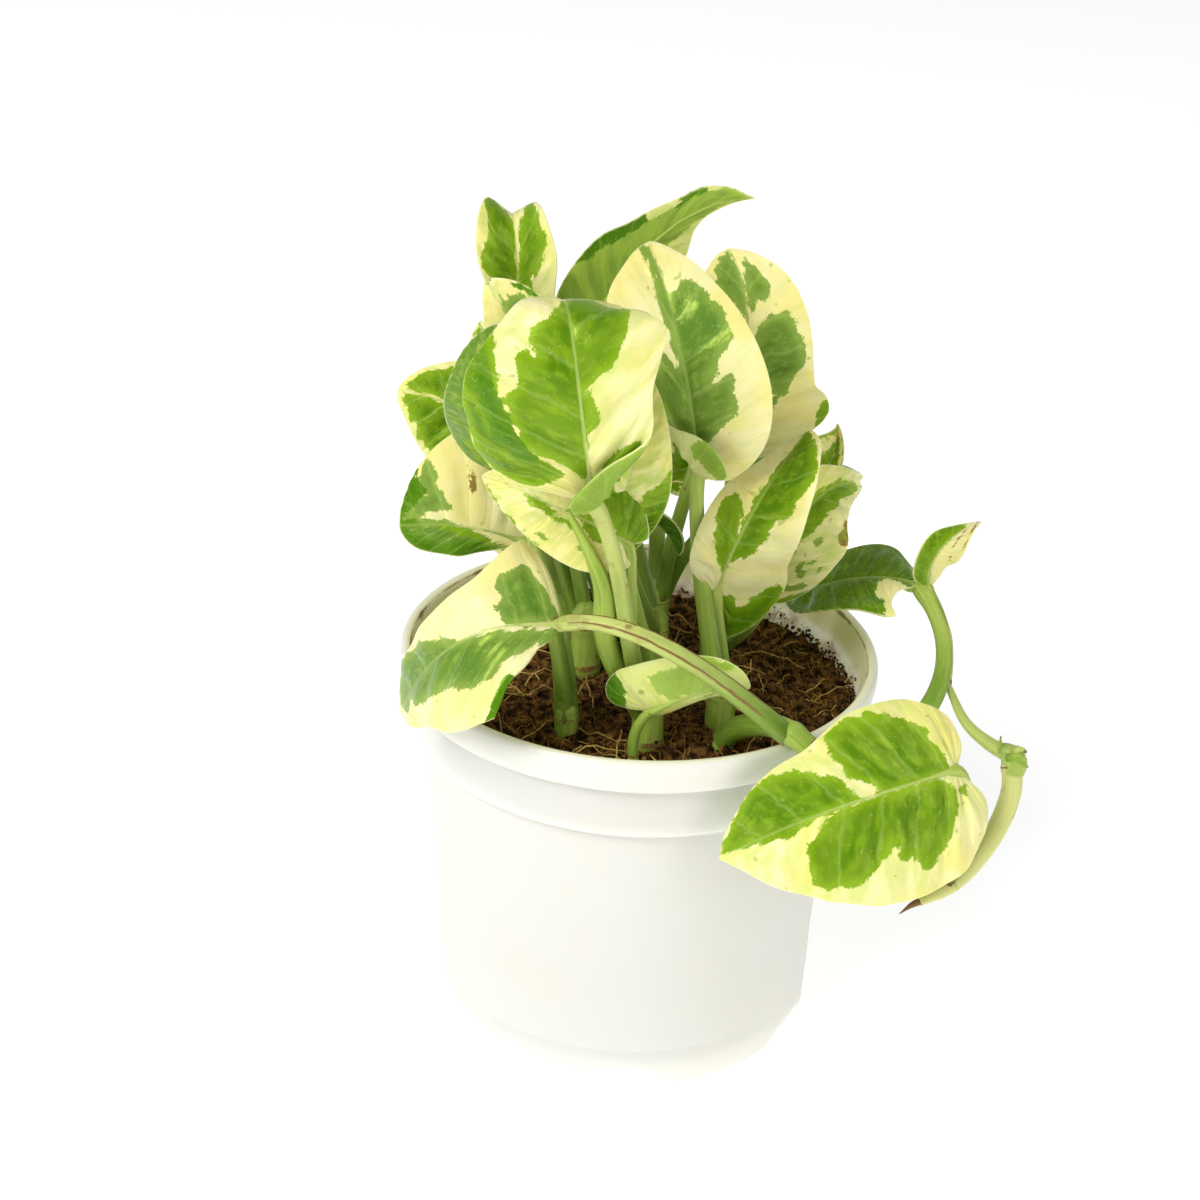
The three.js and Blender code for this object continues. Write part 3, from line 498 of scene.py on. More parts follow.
@dataclass(frozen=True)
class StemFinish:
    """Fleshy stalk: pale green, streaked lengthways, with painted shade at its foot and brown where
    the `scar` mark says.
    """

    pale: Colour = (0.40, 0.51, 0.09)
    green: Colour = (0.20, 0.34, 0.025)
    # Painted shade: the dark green that each stalk's foot, deep among the others, is darkened to.
    deep: Colour = (0.10, 0.21, 0.012)
    # A pale straw for dried vine and sheaths, and painted light where it pales the front stalks.
    dried_and_lit: Colour = (0.76, 0.72, 0.30)
    scar: Colour = (0.20, 0.10, 0.035)
    thread: Colour = (0.66, 0.70, 0.25)
    streaks: Point = (1.6, 1.6, 1.1)
    threads: Point = (9, 9, 6)
    roughness: float = 0.42

    def material(self) -> bpy.types.Material:
        """Make the stalks' material."""
        p = Palette("pothos_stem")
        fibre = p.mark("fibre", vector=True)
        streak = p.grain(fibre, self.streaks, 3)
        fine = p.grain(fibre, self.threads, 2)
        colour = p.blend(p.rise(streak, 0.3, 0.76), self.pale, self.green)
        # Painted shade: each stalk darkens towards its foot, where the other stalks shade it.
        low = p.minus(1.0, p.rise(p.mark("along"), 0.03, 0.45))
        colour = p.blend(p.times(low, 0.65), colour, self.deep)
        colour = p.blend(p.times(p.rise(fine, 0.45, 0.75), 0.15), colour, self.thread)
        # The pale tone is partly painted light: front stalks are made paler than the shaded ones
        # behind. On the hanging vine and sheaths it is their real dried pallor.
        pallor_and_light = p.mark("pallor_and_light")
        colour = p.blend(p.times(pallor_and_light, 0.85), colour, self.dried_and_lit)
        spot = p.rise(p.noise(p.place(), 150, 3), 0.6, 0.66)
        colour = p.blend(p.times(spot, p.times(pallor_and_light, 0.6)), colour, self.scar)
        wart = p.rise(p.noise(p.place(), 300, 1), 0.74, 0.78)
        colour = p.blend(p.times(wart, 0.6), colour, self.scar)
        scar = p.plus(p.mark("scar"), p.times(p.minus(fine, 0.5), 0.9))
        colour = p.blend(p.rise(scar, 0.45, 0.7), colour, self.scar)
        p.bump(fine, 0.00015, 0.5)
        p.set(Base_Color=colour, Roughness=self.roughness, Specular_Tint=(0.85, 1.0, 0.5),
              Subsurface_Weight=0.15, Subsurface_Scale=0.002, Subsurface_Radius=(1.0, 0.9, 0.3))
        return p.material


@dataclass(frozen=True)
class PotFinish:
    """Warm white moulded plastic, lightly see-through, with soil dirt on the rim and painted glow
    inside.
    """

    white: Colour = (0.75, 0.745, 0.675)
    warm: Colour = (0.755, 0.735, 0.645)
    # Partly the inside's warm tint, partly painted glow: light shining through the plastic into its
    # shaded inside.
    inner: Colour = (0.95, 0.88, 0.52)
    dirt: Colour = (0.22, 0.11, 0.03)
    roughness: float = 0.38

    def material(self) -> bpy.types.Material:
        """Make the pot's material."""
        p = Palette("pot_plastic")
        place = p.place()
        cloud = p.noise(place, 22, 3)
        grime = p.noise(place, 130, 4)
        colour = p.blend(p.rise(cloud, 0.35, 0.75), self.white, self.warm)
        # The dirt mark gives both the real soil stain and the painted glow of bright cream on the
        # lip and the inside.
        dirt = p.mark("dirt")
        colour = p.blend(p.times(p.rise(dirt, 0.02, 0.22), 0.75), colour, self.inner)
        stain = p.plus(dirt, p.times(p.minus(grime, 0.5), 1.5))
        colour = p.blend(p.times(p.rise(stain, 0.5, 0.95), 0.85), colour, self.dirt)
        p.bump(p.noise(place, 500, 2), 0.00005, 0.3)
        p.set(Base_Color=colour, Roughness=self.roughness,
              Subsurface_Weight=0.6, Subsurface_Scale=0.007, Subsurface_Radius=(1.0, 1.0, 1.0))
        return p.material


@dataclass(frozen=True)
class SoilFinish:
    """Dark coir: a crumbly brown, or the lighter brown of its fibres."""

    name: str
    dark: Colour
    light: Colour
    roughness: float = 0.9

    def material(self) -> bpy.types.Material:
        """Make one of the soil's materials."""
        p = Palette(self.name)
        place = p.place()
        grain = p.noise(place, 420, 4)
        colour = p.blend(p.rise(grain, 0.38, 0.7), self.dark, self.light)
        p.bump(p.noise(place, 1300, 3), 0.0004, 0.8)
        p.set(Base_Color=colour, Roughness=self.roughness, Specular_IOR_Level=0.12)
        return p.material


# ---------------------------------------------------------------- blades

HEEL = ((0, 0), (20, -6), (38, -7.8), (60, -2), (82, 7), (96, 19))
HALF_OUTLINE = (*HEEL, (100, 31), (96, 43), (85, 56), (66, 71), (40, 86), (14, 96.5), (0, 100))
BLUNT = (*HEEL, (100, 31), (96, 43), (92, 55), (88, 64), (78, 74), (60, 85), (38, 94), (15, 100),
         (0, 100))
LOBE_SHARE = 0.33
LOBE_REACH = 0.2
VEIN_SWEEP = 1.2
FLAP_RADIUS = 1.2
BLADE_ROWS = 60
BLADE_COLUMNS = 20
HALF_THICKNESS = 0.36
USUAL_WIDTH = 48
WAVE_LENGTH, WAVE_HEIGHT = 24, 0.65
SWELL_LENGTH, SWELL_SHARE = 13, 0.5
QUILTS, QUILT_HEIGHT = 10, 0.85
GROOVE_DEPTH, GROOVE_WIDTH = 0.26, 0.8
EDGE_SAMPLES = 90
STALK_POINTS = 41
STALK_SIDES = 18
# Where along the blade the midrib's ridge has its points, and its girth there against the stalk's.
RIB_SHARES = (0.04, 0.08, 0.14, 0.22, 0.34, 0.48, 0.64, 0.8, 0.93)
RIB_GIRTHS = (0.88, 0.76, 0.55, 0.42, 0.34, 0.27, 0.21, 0.16, 0.1)
WING_TURN = 0.75
FAR_OUTSIDE = -20.0


@dataclass(frozen=True)
class Patch:
    """A patch of one tone; its outline is in percent of the half width and of the length."""

    tone: Tone
    outline: tuple[Flat, ...]


@dataclass(frozen=True)
class Leaf:
    """One leaf: its stalk, its curved blade and the blade's patches.

    `rib` holds the midrib's control points from heel to tip. `side` points to the blade's right
    half at the heel and `turn` at the tip. `taper` is the stalk's radius at its foot and its knee.
    Pairs are for the left and the right half: share of the width `halves`, rise at the midrib
    `fold` and bend to the edge `cup` in degrees, longer lobes `heart`, and a folded lobe `flap`.
    `centre` is where along the midrib the lobes' rows end, and `base` is the whole blade's tone.
    The looks are shares: the stalk's `wing`, the brown `scar` on it and its pale tone (partly
    painted light: the front stalks are paler than the shaded ones behind), and the lime `flush` of
    the blade's pale parts.
    """

    name: str
    stalk: tuple[Point, Point, Point]
    taper: Pair
    rib: tuple[Point, Point, Point, Point]
    side: Point
    width: float
    turn: Point | None = None
    halves: Pair = (1, 1)
    fold: Pair = (5, 5)
    cup: Pair = (0, 0)
    heart: Pair = (0, 0)
    outline: tuple[tuple[Flat, ...] | None, tuple[Flat, ...] | None] = (None, None)
    flap: tuple[Pair | None, Pair | None] = (None, None)
    centre: float = 0
    base: Tone | None = None
    patches: tuple[Patch, ...] = ()
    wing: float = 0.11
    scar: float = 0.0
    flush: float = 0.12
    pallor_and_light: float = 0.1

    @property
    def curve(self) -> np.ndarray:
        """The midrib's control points as an array."""
        return np.array(self.rib, float)

    def half_width(self, half: int) -> float:
        """Width of one half in millimetres."""
        return self.width / 2 * self.halves[half]

    def arc(self) -> tuple[np.ndarray, np.ndarray, float]:
        """Find the midrib's parameters, their shares of its length, and that length."""
        t = np.linspace(0, 1, 201)
        steps = np.linalg.norm(np.diff(bezier(self.curve, t), axis=0), axis=1)
        run = np.concatenate([[0], np.cumsum(steps)])
        return t, run / run[-1], float(run[-1])

    def half_outline(self, half: int) -> np.ndarray:
        """The flat outline of one half, in shares of its width and of the length."""
        return np.array(self.outline[half] or HALF_OUTLINE, float) / PERCENT

    def lobe_share(self, half: int, length: float) -> float:
        """Find the share of a half's outline that its lobe takes, up to its fold if it has one."""
        flap = self.flap[half]
        if not flap:
            return LOBE_SHARE
        shares = np.arange(0, 0.7, 0.002)
        edge = catmull(self.half_outline(half), shares)
        slope = math.tan(math.radians(flap[0]))
        beyond = edge[:, 0] * self.half_width(half) > edge[:, 1] * length * slope
        return float(shares[beyond].max())

    def grid(self, half: int, length: float) -> tuple[np.ndarray, np.ndarray]:
        """Lay a flat grid on one half.

        Args:
            half: 0 for the left half and 1 for the right.
            length: The midrib's length in millimetres.

        Returns:
            The grid's points in shares, and its row and column at each point from 0 to 1.
        """
        lobe = self.lobe_share(half, length)
        lobe_rows = round(BLADE_ROWS * LOBE_SHARE)
        row = np.arange(BLADE_ROWS + 1)
        past = np.clip((row - lobe_rows) / (BLADE_ROWS - lobe_rows), 0, 1)
        start = self.centre * np.minimum(1, row / lobe_rows) + (1 - self.centre) * past**VEIN_SWEEP
        place = np.where(row < lobe_rows, lobe * row / lobe_rows, lobe + (1 - lobe) * past)
        edge = catmull(self.half_outline(half), place)
        column = np.linspace(0, 1, BLADE_COLUMNS + 1)
        column = 0.6 * column + 0.4 * (0.5 - 0.5 * np.cos(math.pi * column))
        u = HANDS[half] * edge[:, :1] * column
        v = start[:, None] + (edge[:, 1:] - start[:, None]) * column
        vein = np.stack(np.broadcast_arrays(place[:, None], column[None]), -1)
        return np.stack([u, v], -1), vein

    def place(self, flat: np.ndarray, half: np.ndarray) -> np.ndarray:
        """Put flat points on the curved leaf.

        Args:
            flat: Points in shares of the half width and of the length.
            half: 0 or 1 for each point.

        Returns:
            Their places in millimetres.
        """
        t, share_at, length = self.arc()
        hand = np.where(half == 0, -1.0, 1.0)
        wide = np.array([self.half_width(0), self.half_width(1)])[half]
        heart = np.array(self.heart)[half] * np.minimum(1, np.abs(flat[:, 0]) * 2.5)
        v = flat[:, 1]
        v = np.where(v < LOBE_REACH, LOBE_REACH - (LOBE_REACH - v) * (1 + heart), v)
        x, y, lift = np.abs(flat[:, 0]) * wide, v * length, np.zeros(len(v))
        for k, flap in enumerate(self.flap):
            if flap:
                x, y, lift = self.folded(x, y, lift, half == k, flap)
        along = np.clip(y / length, 0, 1)
        at = np.interp(along, share_at, t)
        slope = bezier_slope(self.curve, at)
        point = bezier(self.curve, at) + slope * (y - along * length)[:, None]
        side, turn = unit(np.array(self.side, float)), unit(np.array(self.turn or self.side, float))
        across = side * (1 - along)[:, None] + turn * along[:, None]
        across = unit(across - slope * np.sum(across * slope, axis=1, keepdims=True))
        face = np.cross(across, slope)
        rise = np.radians(np.array(self.fold, float))[half]
        bend = np.radians(np.array(self.cup, float))[half]
        bend = np.where(np.abs(bend) < 1e-3, 1e-3, bend)
        reach = np.abs(x) / wide
        out = wide * (np.sin(rise + bend * reach) - np.sin(rise)) / bend
        up = wide * (np.cos(rise) - np.cos(rise + bend * reach)) / bend
        return point + across * (hand * np.sign(x) * out)[:, None] + face * (up + lift)[:, None]

    @staticmethod
    def folded(x: np.ndarray, y: np.ndarray, lift: np.ndarray, where: np.ndarray,
               flap: Pair) -> tuple[np.ndarray, np.ndarray, np.ndarray]:
        """Roll what lies beyond a ray from the heel over the blade, or under it if bent back.

        Args:
            x: Distance from the midrib.
            y: Distance along it.
            lift: Height off the blade.
            where: The points of the half that folds.
            flap: The ray's angle from the midrib and the bend in degrees, negative for back.

        Returns:
            The new x, y and lift.
        """
        start, most = math.radians(flap[0]), math.radians(abs(flap[1]))
        along = x * math.sin(start) + y * math.cos(start)
        past = x * math.cos(start) - y * math.sin(start)
        bend = np.minimum(past / FLAP_RADIUS, most)
        rest = past - FLAP_RADIUS * bend
        out = FLAP_RADIUS * np.sin(bend) + rest * np.cos(bend)
        rise = FLAP_RADIUS * (1 - np.cos(bend)) + rest * np.sin(bend)
        moved = where & (past > 0)
        x = np.where(moved, along * math.sin(start) + out * math.cos(start), x)
        y = np.where(moved, along * math.cos(start) - out * math.sin(start), y)
        return x, y, np.where(moved, math.copysign(1, flap[1]) * rise, lift)

    def flat_mm(self, flat: np.ndarray, length: float) -> np.ndarray:
        """Turn flat shares into flat millimetres."""
        wide = np.where(flat[:, 0] < 0, self.half_width(0), self.half_width(1))
        return np.stack([flat[:, 0] * wide, flat[:, 1] * length], -1)

    def depths(self, flat: np.ndarray, length: float) -> dict[str, np.ndarray]:
        """Work out how deep each point lies inside each tone, in millimetres, negative outside."""
        points = self.flat_mm(flat, length)
        found = {tone: np.full(len(points), FAR_OUTSIDE) for tone in Tone}
        if self.base:
            found[self.base] += 2 * abs(FAR_OUTSIDE)
        for patch in self.patches:
            corners = self.flat_mm(np.array(patch.outline, float) / PERCENT, length)
            depth = depth_inside(points, closed_catmull(corners, 4))
            found[patch.tone] = np.maximum(found[patch.tone], depth)
        marks = {tone.value: found[tone] for tone in Tone}
        greens = [found[tone] for tone in (Tone.GREY, Tone.GREEN, Tone.DARK)]
        marks["near"] = np.maximum.reduce(greens)
        return marks

    def blade(self) -> Draft:
        """Build the blade as a thin closed sheet with its marks."""
        _, _, length = self.arc()
        grids = [self.grid(half, length) for half in (0, 1)]
        flat = np.vstack([g.reshape(-1, 2) for g, _ in grids])
        vein = np.vstack([v.reshape(-1, 2) for _, v in grids])
        half = np.repeat([0, 1], len(flat) // 2)
        keys = np.round(flat * 1e5).astype(int)
        _, first, same = np.unique(keys, axis=0, return_index=True, return_inverse=True)
        same = same.ravel()
        flat, vein, half = flat[first], vein[first], half[first]
        sheet = self.place(flat, half)
        faces = sheet_faces(same)
        normals = face_normals(sheet, faces)
        samples = np.linspace(0, 1, EDGE_SAMPLES)
        outline = [catmull(self.half_outline(k), samples) * (HANDS[k], 1) for k in (0, 1)]
        points, rim = self.flat_mm(flat, length), self.flat_mm(np.vstack(outline), length)
        edge = np.array([np.min(np.linalg.norm(point - rim, axis=1)) for point in points])
        rib = np.abs(points[:, 0])
        size, seed = self.width / USUAL_WIDTH, seed_of(self.name)
        wave = ripple_noise(points, WAVE_LENGTH, seed) * WAVE_HEIGHT * size
        wave = wave * smooth_step(rib, 1.5, 9)
        swell = 1 + SWELL_SHARE * ripple_noise(points, SWELL_LENGTH, seed + 1)
        quilt = (np.abs(np.sin(vein[:, 0] * math.pi * QUILTS)) - 0.6) * QUILT_HEIGHT * size * swell
        quilt = quilt * smooth_step(rib, 0.4, 4) * smooth_step(edge, 0, 5)
        groove = -GROOVE_DEPTH * bell(rib, 0, GROOVE_WIDTH) * smooth_step(1 - flat[:, 1], 0, 0.4)
        thick = HALF_THICKNESS * (0.55 + 0.45 * smooth_step(edge, 0, 1.2))
        middle = sheet + normals * (wave + quilt)[:, None]
        top = middle + normals * (thick + groove)[:, None]
        low = middle - normals * thick[:, None]
        return close_sheet(top, low, faces, self.blade_marks(flat, vein, edge, rib, length))

    def blade_marks(self, flat: np.ndarray, vein: np.ndarray, edge: np.ndarray, rib: np.ndarray,
                    length: float) -> dict[str, np.ndarray]:
        """Gather what the finish reads at each point of one face."""
        seed = seed_of(self.name) % 97
        side = np.sign(flat[:, 0]) * 3.3 + seed
        marks = {"vein": np.column_stack([vein, side]), "edge": edge, "rib": rib,
                 "flush": np.full(len(flat), self.flush)}
        marks.update(self.depths(flat, length))
        return marks

    def petiole(self) -> Draft:
        """Build the stalk, with its sheath wings and knee, and the midrib that it runs on into."""
        root, end = self.taper
        share = np.linspace(0, 1, STALK_POINTS)
        line = bezier(np.array([*self.stalk, self.rib[0]], float), share)
        shares = np.array(RIB_SHARES)
        flat = np.column_stack([np.zeros(len(shares)), shares])
        ribs = self.place(flat, np.ones(len(shares), int))
        heel = self.place(np.array([[0.02, 0.05], [0.0, 0.05], [0.0, 0.09]]), np.ones(3, int))
        face = unit(np.cross(heel[0] - heel[1], heel[2] - heel[1]))
        radii = np.array(RIB_GIRTHS) * end
        ribs = ribs - face_normals_on(self, shares) * (radii * 0.55 + 0.1)[:, None]
        stem = root + (end - root) * share
        stem = stem * (1 + 0.14 * bell(share, 0.93, 0.05))
        path = np.vstack([line, ribs])

        def section(turn: np.ndarray, way: np.ndarray) -> np.ndarray:
            """Groove the stalk's face and raise a wing on each side of the groove."""
            turn = (turn + math.pi) % (2 * math.pi) - math.pi
            near = 1 - smooth_step(way, 0.5, 0.75)
            groove = 0.12 * bell(turn, 0, 0.45)
            wings = sum(bell(turn, hand * WING_TURN, 0.2) for hand in HANDS)
            return 1 - groove + self.wing * near * wings

        made = tube(path, np.concatenate([stem, radii]), STALK_SIDES, tuple(face), section)
        turn = np.arctan2(made.marks["fibre"][:, 1], made.marks["fibre"][:, 0])
        on_wing = sum(bell(turn, hand * WING_TURN, 0.28) for hand in HANDS)
        way = made.marks["along"]
        # The pale tone, partly painted light on the front stalks, rises from the stalk's foot.
        made.marks["pallor_and_light"] = self.pallor_and_light * smooth_step(way, 0.05, 0.5)
        lower = smooth_step(way, 0.04, 0.12) * (1 - smooth_step(way, 0.45, 0.62))
        made.marks["scar"] = self.scar * on_wing * lower
        made.marks["scar"] += 0.75 * (1 - smooth_step(way, 0.0, 0.05))
        return made


def seed_of(name: str) -> int:
    """Turn a piece's name into a steady seed."""
    return sum((i + 1) * ord(letter) for i, letter in enumerate(name))


def face_normals_on(leaf: Leaf, shares: np.ndarray) -> np.ndarray:
    """Find the blade's normals along its midrib."""
    ones = np.ones(len(shares), int)
    here = leaf.place(np.column_stack([np.zeros(len(shares)), shares]), ones)
    ahead = leaf.place(np.column_stack([np.zeros(len(shares)), shares + 0.01]), ones)
    left = leaf.place(np.column_stack([np.full(len(shares), -0.05), shares]), ones * 0)
    right = leaf.place(np.column_stack([np.full(len(shares), 0.05), shares]), ones)
    return unit(np.cross(right - left, ahead - here))


def sheet_faces(same: np.ndarray) -> list[tuple[int, ...]]:
    """List a blade's faces from its two grids, left out where they shrink to a line.

    Args:
        same: For each grid point, the number of the point that it is merged into.

    Returns:
        Faces that look up from the blade.
    """
    rows, columns = BLADE_ROWS + 1, BLADE_COLUMNS + 1
    numbers = same.reshape(2, rows, columns)
    faces = []
    for half in (0, 1):
        grid = numbers[half]
        for i in range(rows - 1):
            for k in range(columns - 1):
                corners = [grid[i, k], grid[i, k + 1], grid[i + 1, k + 1], grid[i + 1, k]]
                if half == 0:
                    corners.reverse()
                kept = list(dict.fromkeys(int(c) for c in corners))
                if len(kept) > 2:
                    faces.append(tuple(kept))
    return faces


def face_normals(points: np.ndarray, faces: list[tuple[int, ...]]) -> np.ndarray:
    """Average the faces' normals at each point."""
    total = np.zeros_like(points)
    for face in faces:
        corners = points[list(face)]
        normal = np.cross(corners[1] - corners[0], corners[2] - corners[0])
        total[list(face)] += normal
    return unit(total)


def close_sheet(top: np.ndarray, low: np.ndarray, faces: list[tuple[int, ...]],
                marks: dict[str, np.ndarray]) -> Draft:
    """Join a blade's upper and lower face round its edge.

    Args:
        top: The upper face's points.
        low: The lower face's points.
        faces: The upper face's faces.
        marks: The marks of one face.

    Returns:
        The closed sheet.
    """
    count = len(top)
    edges = {(face[k], face[(k + 1) % len(face)]) for face in faces for k in range(len(face))}
    closed = list(faces) + [tuple(c + count for c in reversed(face)) for face in faces]
    closed += [(b, a, a + count, b + count) for a, b in sorted(edges) if (b, a) not in edges]
    both = {name: np.concatenate([values, values]) for name, values in marks.items()}
    both["under"] = np.repeat([0.0, 1.0], count)
    return Draft(np.vstack([top, low]), closed, both)


def depth_inside(points: np.ndarray, outline: np.ndarray) -> np.ndarray:
    """Measure how deep points lie in a closed outline, negative outside it."""
    start, end = outline, np.roll(outline, -1, axis=0)
    run = end - start
    rel = points[:, None] - start[None]
    t = np.clip(np.sum(rel * run, -1) / np.maximum(np.sum(run * run, -1), 1e-9), 0, 1)
    gap = np.min(np.linalg.norm(rel - run * t[..., None], axis=-1), axis=1)
    above = (start[None, :, 1] > points[:, None, 1]) != (end[None, :, 1] > points[:, None, 1])
    rise = np.where(np.abs(run[:, 1]) < 1e-9, 1e-9, run[:, 1])
    over = points[:, None, 1] - start[None, :, 1]
    cross = start[None, :, 0] + over * run[None, :, 0] / rise[None]
    inside = np.sum(above & (points[:, None, 0] < cross), axis=1) % 2 == 1
    return np.where(inside, gap, -gap)


# ---------------------------------------------------------------- shoots


RUN_SIDES = 20
STEM_SIDES = 22
STEM_POINTS = 40
STEM_FOOT = 86


@dataclass(frozen=True)
class Run:
    """A stem, vine or rolled leaf.

    It grows through `points`, with `radii` at its start, middle and end. `nodes` are the shares of
    its length that carry a ring, and from the share `brown_from` on it is brown.
    """

    name: str
    points: tuple[Point, ...]
    radii: tuple[float, float, float]
    nodes: tuple[float, ...] = ()
    rolled: bool = False
    brown_from: float = 1.2
    pallor_and_light: float = 0.0

    def draft(self) -> Draft:
        """Build the run with its node rings and scars, or with the seam of a rolled leaf."""
        path = route(np.array(self.points, float), 12)
        share = np.linspace(0, 1, len(path))
        first, middle, last = self.radii
        radii = np.interp(share, [0, 0.5, 1], [first, middle, last])
        for at in self.nodes:
            radii = radii * (1 + 0.13 * bell(share, at, 0.02))

        def section(turn: np.ndarray, way: np.ndarray) -> np.ndarray:
            """Wind the free edge of a rolled leaf round it."""
            if not self.rolled:
                return 1 + 0.05 * np.cos(2 * turn + 6 * way)
            wound = ((turn + 2.4 * way) / (2 * math.pi)) % 1
            return 0.86 + 0.2 * wound

        made = tube(path, radii, RUN_SIDES, (0.3, -1, 0.2), section)
        way = made.marks["along"]
        scar = sum((0.85 * bell(way, at, 0.006) for at in self.nodes), np.zeros(len(way)))
        made.marks["scar"] = scar + smooth_step(way, self.brown_from, self.brown_from + 0.08)
        made.marks["pallor_and_light"] = np.full(len(way), self.pallor_and_light)
        return made


@dataclass(frozen=True)
class Shoot:
    """A leafy stem: where it stands, its leaves and its runs."""

    node: str
    foot: Flat
    girth: float
    top: float
    leaves: tuple[Leaf, ...]
    runs: tuple[Run, ...] = ()
    buds: tuple[Run, ...] = ()

    def stem(self) -> Draft:
        """Build the stem from under the soil to where its stalks part."""
        heights = np.linspace(STEM_FOOT, self.top + 1.5, STEM_POINTS)
        share = np.linspace(0, 1, STEM_POINTS)
        path = np.column_stack([*(np.full(STEM_POINTS, at) for at in self.foot), heights])
        radii = self.girth * (1 - 0.2 * share) * np.sqrt(np.clip((1.02 - share) / 0.12, 0, 1))
        for at in (0.42, 0.78):
            radii = radii * (1 + 0.09 * bell(share, at, 0.03))

        def section(turn: np.ndarray, way: np.ndarray) -> np.ndarray:
            """Give the stem a three-sided twist."""
            return 1 + 0.05 * np.cos(3 * turn + 4 * way)

        made = tube(path, radii, STEM_SIDES, (0.2, -1, 0), section)
        way = made.marks["along"]
        rings = sum(0.7 * bell(way, at, 0.02) for at in (0.45, 0.8))
        made.marks["scar"] = 0.55 * (1 - smooth_step(way, 0.36, 0.5)) + rings
        return made

    def build(self, blades: bpy.types.Material, stems: bpy.types.Material) -> None:
        """Make and dress the shoot's pieces."""
        stem = self.stem()
        for run in self.runs:
            stem = stem.joined(run.draft())
        for leaf in self.leaves:
            stem = stem.joined(leaf.petiole())
        settle(stem.build(f"{self.node}_stalks", stems), self.node)
        for leaf in self.leaves:
            settle(leaf.blade().build(leaf.name, blades), self.node)
        for bud in self.buds:
            settle(bud.draft().build(bud.name, stems), self.node)


FRONT_LEFT = ((0, 0), (20, -1.5), (40, -2), (62, 1), (85, 8.5), (97, 19), (102, 31), (100, 42),
              (93, 50), (74, 58), (52, 64.5), (34, 71), (22, 79), (10, 90), (0, 100))
FRONT_RIGHT = ((0, 0), (17, -7), (43, -7), (58, -2), (64, 5), (69, 15), (73, 24), (74, 31),
               (77, 38), (89, 46), (100, 54), (86, 61), (66, 71), (40, 86), (14, 96.5), (0, 100))
TALL_LEFT = ((0, 0), (20, -8), (45, -11.5), (62, -6), (66, 3), (60, 12), (50, 20), (52, 33),
             (70, 45), (82, 57), (80, 70), (68, 81), (44, 90), (18, 97), (0, 100))
BLADE_LOBE = ((0, 0), (10, -6.5), (24, -10.5), (48, -9), (75, -5.5), (100, 1), (117, 9), (114, 16),
              (100, 26), (94, 38), (92, 50), (89, 60), (84, 70), (68, 81), (45, 91), (18, 98),
              (0, 100))
BLUNT_LEFT = (*HEEL, (100, 31), (98, 45), (90, 60), (80, 75), (62, 86), (42, 94), (20, 99),
              (0, 100))
LOBED_RIGHT = ((0, 0), (15, -4), (30, -5), (60, 0), (95, 8), (120, 17), (115, 26), (95, 34),
               (90, 45), (87, 56), (80, 68), (62, 82), (30, 93), (0, 100))
LOW_LEFT = ((0, 0), (16, -6), (34, -11), (55, -10), (77, -3), (93, 6), (100, 16), (103, 27),
            (102, 38), (97, 49), (85, 60), (72, 69), (55, 79), (34, 88), (13, 95), (0, 100))
LOW_RIGHT = ((0, 0), (20, -4), (43, -3.5), (62, -0.5), (80, 7), (93, 15), (98, 25), (96, 36),
             (86, 44), (73, 53), (68, 62), (58, 72), (42, 82), (20, 93), (0, 100))
RIM_LEFT = ((0, 0), (20, -5), (40, -5), (60, 0), (75, 8), (85, 20), (90, 30), (90, 42), (87, 53),
            (79, 62), (70, 68), (52, 76), (42, 84), (25, 93), (10, 98), (0, 100))
RIM_RIGHT = ((0, 0), (20, -1), (50, 0), (80, 2), (100, 4.5), (112, 9), (108, 14), (93, 20),
             (70, 29), (60, 39), (54, 49), (50, 60), (43, 70), (37, 80), (24, 91), (0, 100))
SIDE_LEFT = ((0, 0), (10, 2), (25, 8), (40, 17), (57, 27), (72, 38), (84, 50), (87, 62), (85, 74),
             (72, 86), (45, 95), (20, 99), (0, 100))
HOOK_LEFT = ((0, 0), (12, 3), (25, 8), (42, 12), (65, 14), (92, 14), (112, 12), (118, 16),
             (110, 22), (96, 30), (87, 40), (80, 55), (68, 70), (45, 85), (18, 94), (0, 100))
ARCH_LEFT = ((0, 0), (30, -5), (70, 0), (100, 15), (115, 35), (150, 50), (142, 57), (110, 63),
             (75, 68), (45, 75), (27, 85), (12, 93), (0, 100))
ARCH_RIGHT = ((0, 0), (30, -6), (62, -6), (86, 0), (98, 8), (102, 18), (100, 28), (90, 38.5),
              (68, 48), (55, 58), (44, 68), (43, 78), (28, 88), (10, 95), (0, 100))
BACK_LEFT = ((0, 0), (15, -4), (30, -5), (42, 0), (48, 10), (50, 22), (50, 35), (54, 48), (64, 60),
             (67, 70), (62, 80), (46, 89), (20, 97), (0, 100))
BACK_RIGHT = ((0, 0), (15, -4), (30, -5), (45, 0), (55, 10), (60, 22), (64, 35), (70, 48), (74, 60),
              (67, 70), (54, 80), (36, 89), (14, 96.5), (0, 100))
SLIM_LEFT = (*HEEL, (100, 31), (90, 45), (70, 60), (50, 72), (35, 82), (25, 92), (0, 100))
SLIM_RIGHT = ((0, 0), (15, 0), (35, 2), (55, 7), (72, 15), (85, 25), (95, 37), (100, 48), (90, 60),
              (66, 74), (40, 86), (14, 96.5), (0, 100))
BULGED_LEFT = (*HEEL, (105, 35), (110, 50), (115, 65), (110, 76), (80, 84), (35, 90), (10, 95),
               (0, 100))
BACK_LOBE = ((0, 0), (25, -20), (60, -34), (95, -30), (112, -12), (112, 12), (106, 33), (95, 53),
             (75, 73), (45, 89), (15, 98), (0, 100))
WIDE_TIP = ((0, 0), (20, -3), (35, 2), (45, 10), (52, 20), (60, 32), (75, 42), (105, 52), (130, 62),
            (130, 72), (105, 84), (55, 94), (0, 100))


